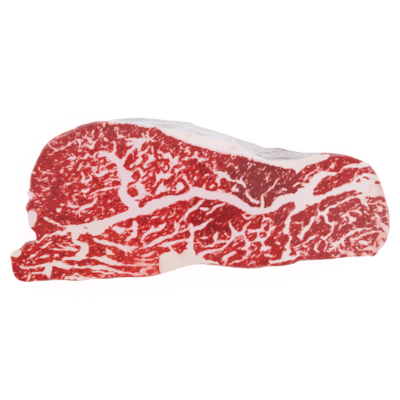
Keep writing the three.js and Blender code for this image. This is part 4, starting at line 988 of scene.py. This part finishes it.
# How deep a place lies in fat: flecks, the fat round three sizes of bundle, the seams and the lean in them.
places_in_flow = mixer.painted("flow", "Vector")
jitter = places_in_flow.noise_there(0.9, 2, "Color")
jitter = mixer.add("ShaderNodeVectorMath", {"operation": "SUBTRACT"}, {0: jitter, 1: (0.5, 0.5, 0.5)})
jitter = mixer.add("ShaderNodeVectorMath", {"operation": "MULTIPLY"}, {0: jitter, 1: (1.6, 1.6, 0)})
frayed = mixer.add("ShaderNodeVectorMath", {"operation": "ADD"}, {0: places_in_flow, 1: jitter})
patches = places_in_flow.noise_there(0.22, 1) - 0.5

fleck = frayed.bundles(3.4, 1.3)
flecks = (((mixer.painted("flecks") + patches * 0.8 - fleck.luck()) * 1.2).least(0.42) - fleck) * 1.25
bumps = frayed.bundles(2.3, 1.3) - 0.45
grown = mixer.painted("fat") + bumps * 0.8
for name, length, width in (("cobbles", 3.2, 2), ("islands", 6.5, 3.8), ("streaks", 16, 3)):
    cell = frayed.bundles(length, width)
    size = 0.95 - mixer.painted(name) * 0.6 - patches * 0.6 + cell.luck() * 0.25
    grown = grown.most((cell - size) * width)
grown = grown.least(bumps * 0.9 - mixer.painted("lean") - 0.1)
depth_of_fat = grown.most(flecks) + (mixer.noise(1500, 3) - 0.5) * 0.35
is_fat = depth_of_fat.eased(-0.04, 0.2)

# The lean: bright beside fat, deep red away from it, with paler and darker fibres and painted wet glints.
inside = (depth_of_fat * -1).eased(0.1, 1.4)
tone = mixer.painted("tone") + patches * 0.9
lean = inside.between(LEAN_BORDER, LEAN_INSIDE)
lean = (tone * -0.8).eased(0, 1).between(lean, LEAN_DARK)
lean = tone.eased(0, 1).between(lean, LEAN_BRIGHT)
dull = mixer.painted("dull")
lean = (dull * 0.65).between(lean, LEAN_DULL)
fibres = frayed.stretched((0.5, 2.4, 0.5)).noise_there(1, 3)
lean = ((fibres - 0.5) * 2).eased(0, 0.6).between(lean, dull.between(LEAN_FRESH, LEAN_DULL))
lean = ((1 - fibres).eased(0.5, 0.7) * 0.7).between(lean, LEAN_DARK)
# Painted highlight: small pale glints of wet shine, painted into the lean's colour cell by cell.
painted_glint_cells = frayed.bundles(2.1, 0.9)
lean = ((painted_glint_cells.luck() * 0.5 - painted_glint_cells).eased(0, 0.16) * 0.85).between(lean, PAINTED_GLINT)

# The fat: pink where it is thin, white in the cap, with beige and peach patches.
patchy = mixer.noise(90, 3)
white = mixer.painted("pale").between(FAT_WHITE, FAT_PALE)
white = (tone.eased(0.25, 0.9) * 0.85).between(white, FAT_BLUSH)
white = depth_of_fat.eased(0, 0.7).between(FAT_BORDER, white)
in_cap = mixer.painted("cap")
white = in_cap.eased(0.3, 2).between(white, CAP_WHITE)
white = (mixer.painted("beige") * 0.5).between(white, FAT_CREAM)
white = (in_cap.eased(1, 3) * patchy.eased(0.56, 0.7) * 0.5).between(white, FAT_PEACH)
cream = mixer.painted("cream")
white = (cream * patchy.eased(0.25, 0.55)).between(white, FAT_CREAM)
white = (cream * mixer.noise(240, 3, (1, 0.6, 1)).eased(0.5, 0.75) * 0.6).between(white, FAT_PEACH)
meat_colour = is_fat.between(lean, white)

# The membrane: lines along it, painted shade low down, and crumbs and dark hairs where it has dried out.
lines = mixer.noise(260, 4, (0.18, 1, 1))
crumbs = mixer.noise(900, 3)
dried = mixer.painted("dried")
hair = mixer.noise(130, 3, (0.4, 1, 0.8)) - 0.5
hair = hair.most(hair * -1)
membrane = (lines.eased(0.45, 0.75) * 0.6).between(SKIN_GREY, SKIN_LINES_AND_SHADE)
membrane = (dried * crumbs.eased(0.3, 0.6)).between(membrane, SKIN_DRIED)
# Painted shade: the membrane darkens towards the bottom of the side.
membrane = (mixer.painted("low_painted_shade") * 0.7).between(membrane, SKIN_LINES_AND_SHADE)
membrane = ((0.006 + dried * 0.018 - hair).eased(0, 0.012) * 0.7).between(membrane, SKIN_SPOTS)
colour = mixer.painted("skin").between(meat_colour, membrane)
tree.links.new(colour.socket, surface.inputs["Base Color"])

gloss = 0.36 + is_fat * 0.1 + (mixer.noise(700, 2) - 0.5) * 0.25
tree.links.new(gloss.socket, surface.inputs["Roughness"])
grain = mixer.noise(1300, 3) * 0.5 + mixer.noise(420, 2) * 0.5
bump = mixer.add("ShaderNodeBump", None, {"Height": grain, "Strength": 0.25, "Distance": 0.4 * MM})
tree.links.new(bump.socket, surface.inputs["Normal"])
surface.inputs["Specular IOR Level"].default_value = 0.12

meat = bpy.data.objects.new("short_rib_meat", beef)
bpy.context.scene.collection.objects.link(meat)
beef.shade_smooth()
beef.materials.clear()
beef.materials.append(finish)
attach(meat, "root")
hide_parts("short_rib")

# The table
# A plain white sheet of glass with light behind it, as for a photograph without shadows, under a wide white
# ceiling of light.
TABLE_SIZE = 8
WHITE = (1, 1, 1, 1)
GLASS_GREY = (0.15, 0.15, 0.15, 1)
GLASS_GLOW = 0.89
CEILING_GLOW = 0.95
bpy.ops.mesh.primitive_plane_add(size=TABLE_SIZE)
floor = bpy.context.object
floor.name = "table"
glass = bpy.data.materials.new("lit_white_glass")
glass.use_nodes = True
pane = glass.node_tree.nodes["Principled BSDF"]
pane.inputs["Base Color"].default_value = GLASS_GREY
pane.inputs["Roughness"].default_value = 0.8
pane.inputs["Specular IOR Level"].default_value = 0
pane.inputs["Emission Color"].default_value = WHITE
pane.inputs["Emission Strength"].default_value = GLASS_GLOW
floor.data.materials.append(glass)

world = bpy.data.worlds.new("studio")
bpy.context.scene.world = world
world.use_nodes = True
ceiling = world.node_tree.nodes["Background"]
ceiling.inputs["Color"].default_value = WHITE
ceiling.inputs["Strength"].default_value = CEILING_GLOW
bpy.context.scene.view_settings.view_transform = "Standard"

# The camera
# It looks down from 1.5 m off, leaning 4 degrees to the side of the cap so that the cap's skin shows, and
# takes in 200 mm of the upper cut face.
FACE_WIDTH = 200 * MM
TILT = math.radians(4)
AWAY = 1.5
AIM_Y = 0.5 * MM
SENSOR = 36
camera = bpy.data.cameras.new("camera")
camera.sensor_width = SENSOR
camera.lens = AWAY * SENSOR / FACE_WIDTH
viewer = bpy.data.objects.new("camera", camera)
bpy.context.scene.collection.objects.link(viewer)
bpy.context.scene.camera = viewer
sine, cosine = math.sin(TILT), math.cos(TILT)
turned = Matrix(((1, 0, 0), (0, cosine, sine), (0, -sine, cosine))).to_4x4()
viewer.matrix_world = Matrix.Translation((0, AIM_Y + AWAY * sine, top + AWAY * cosine)) @ turned
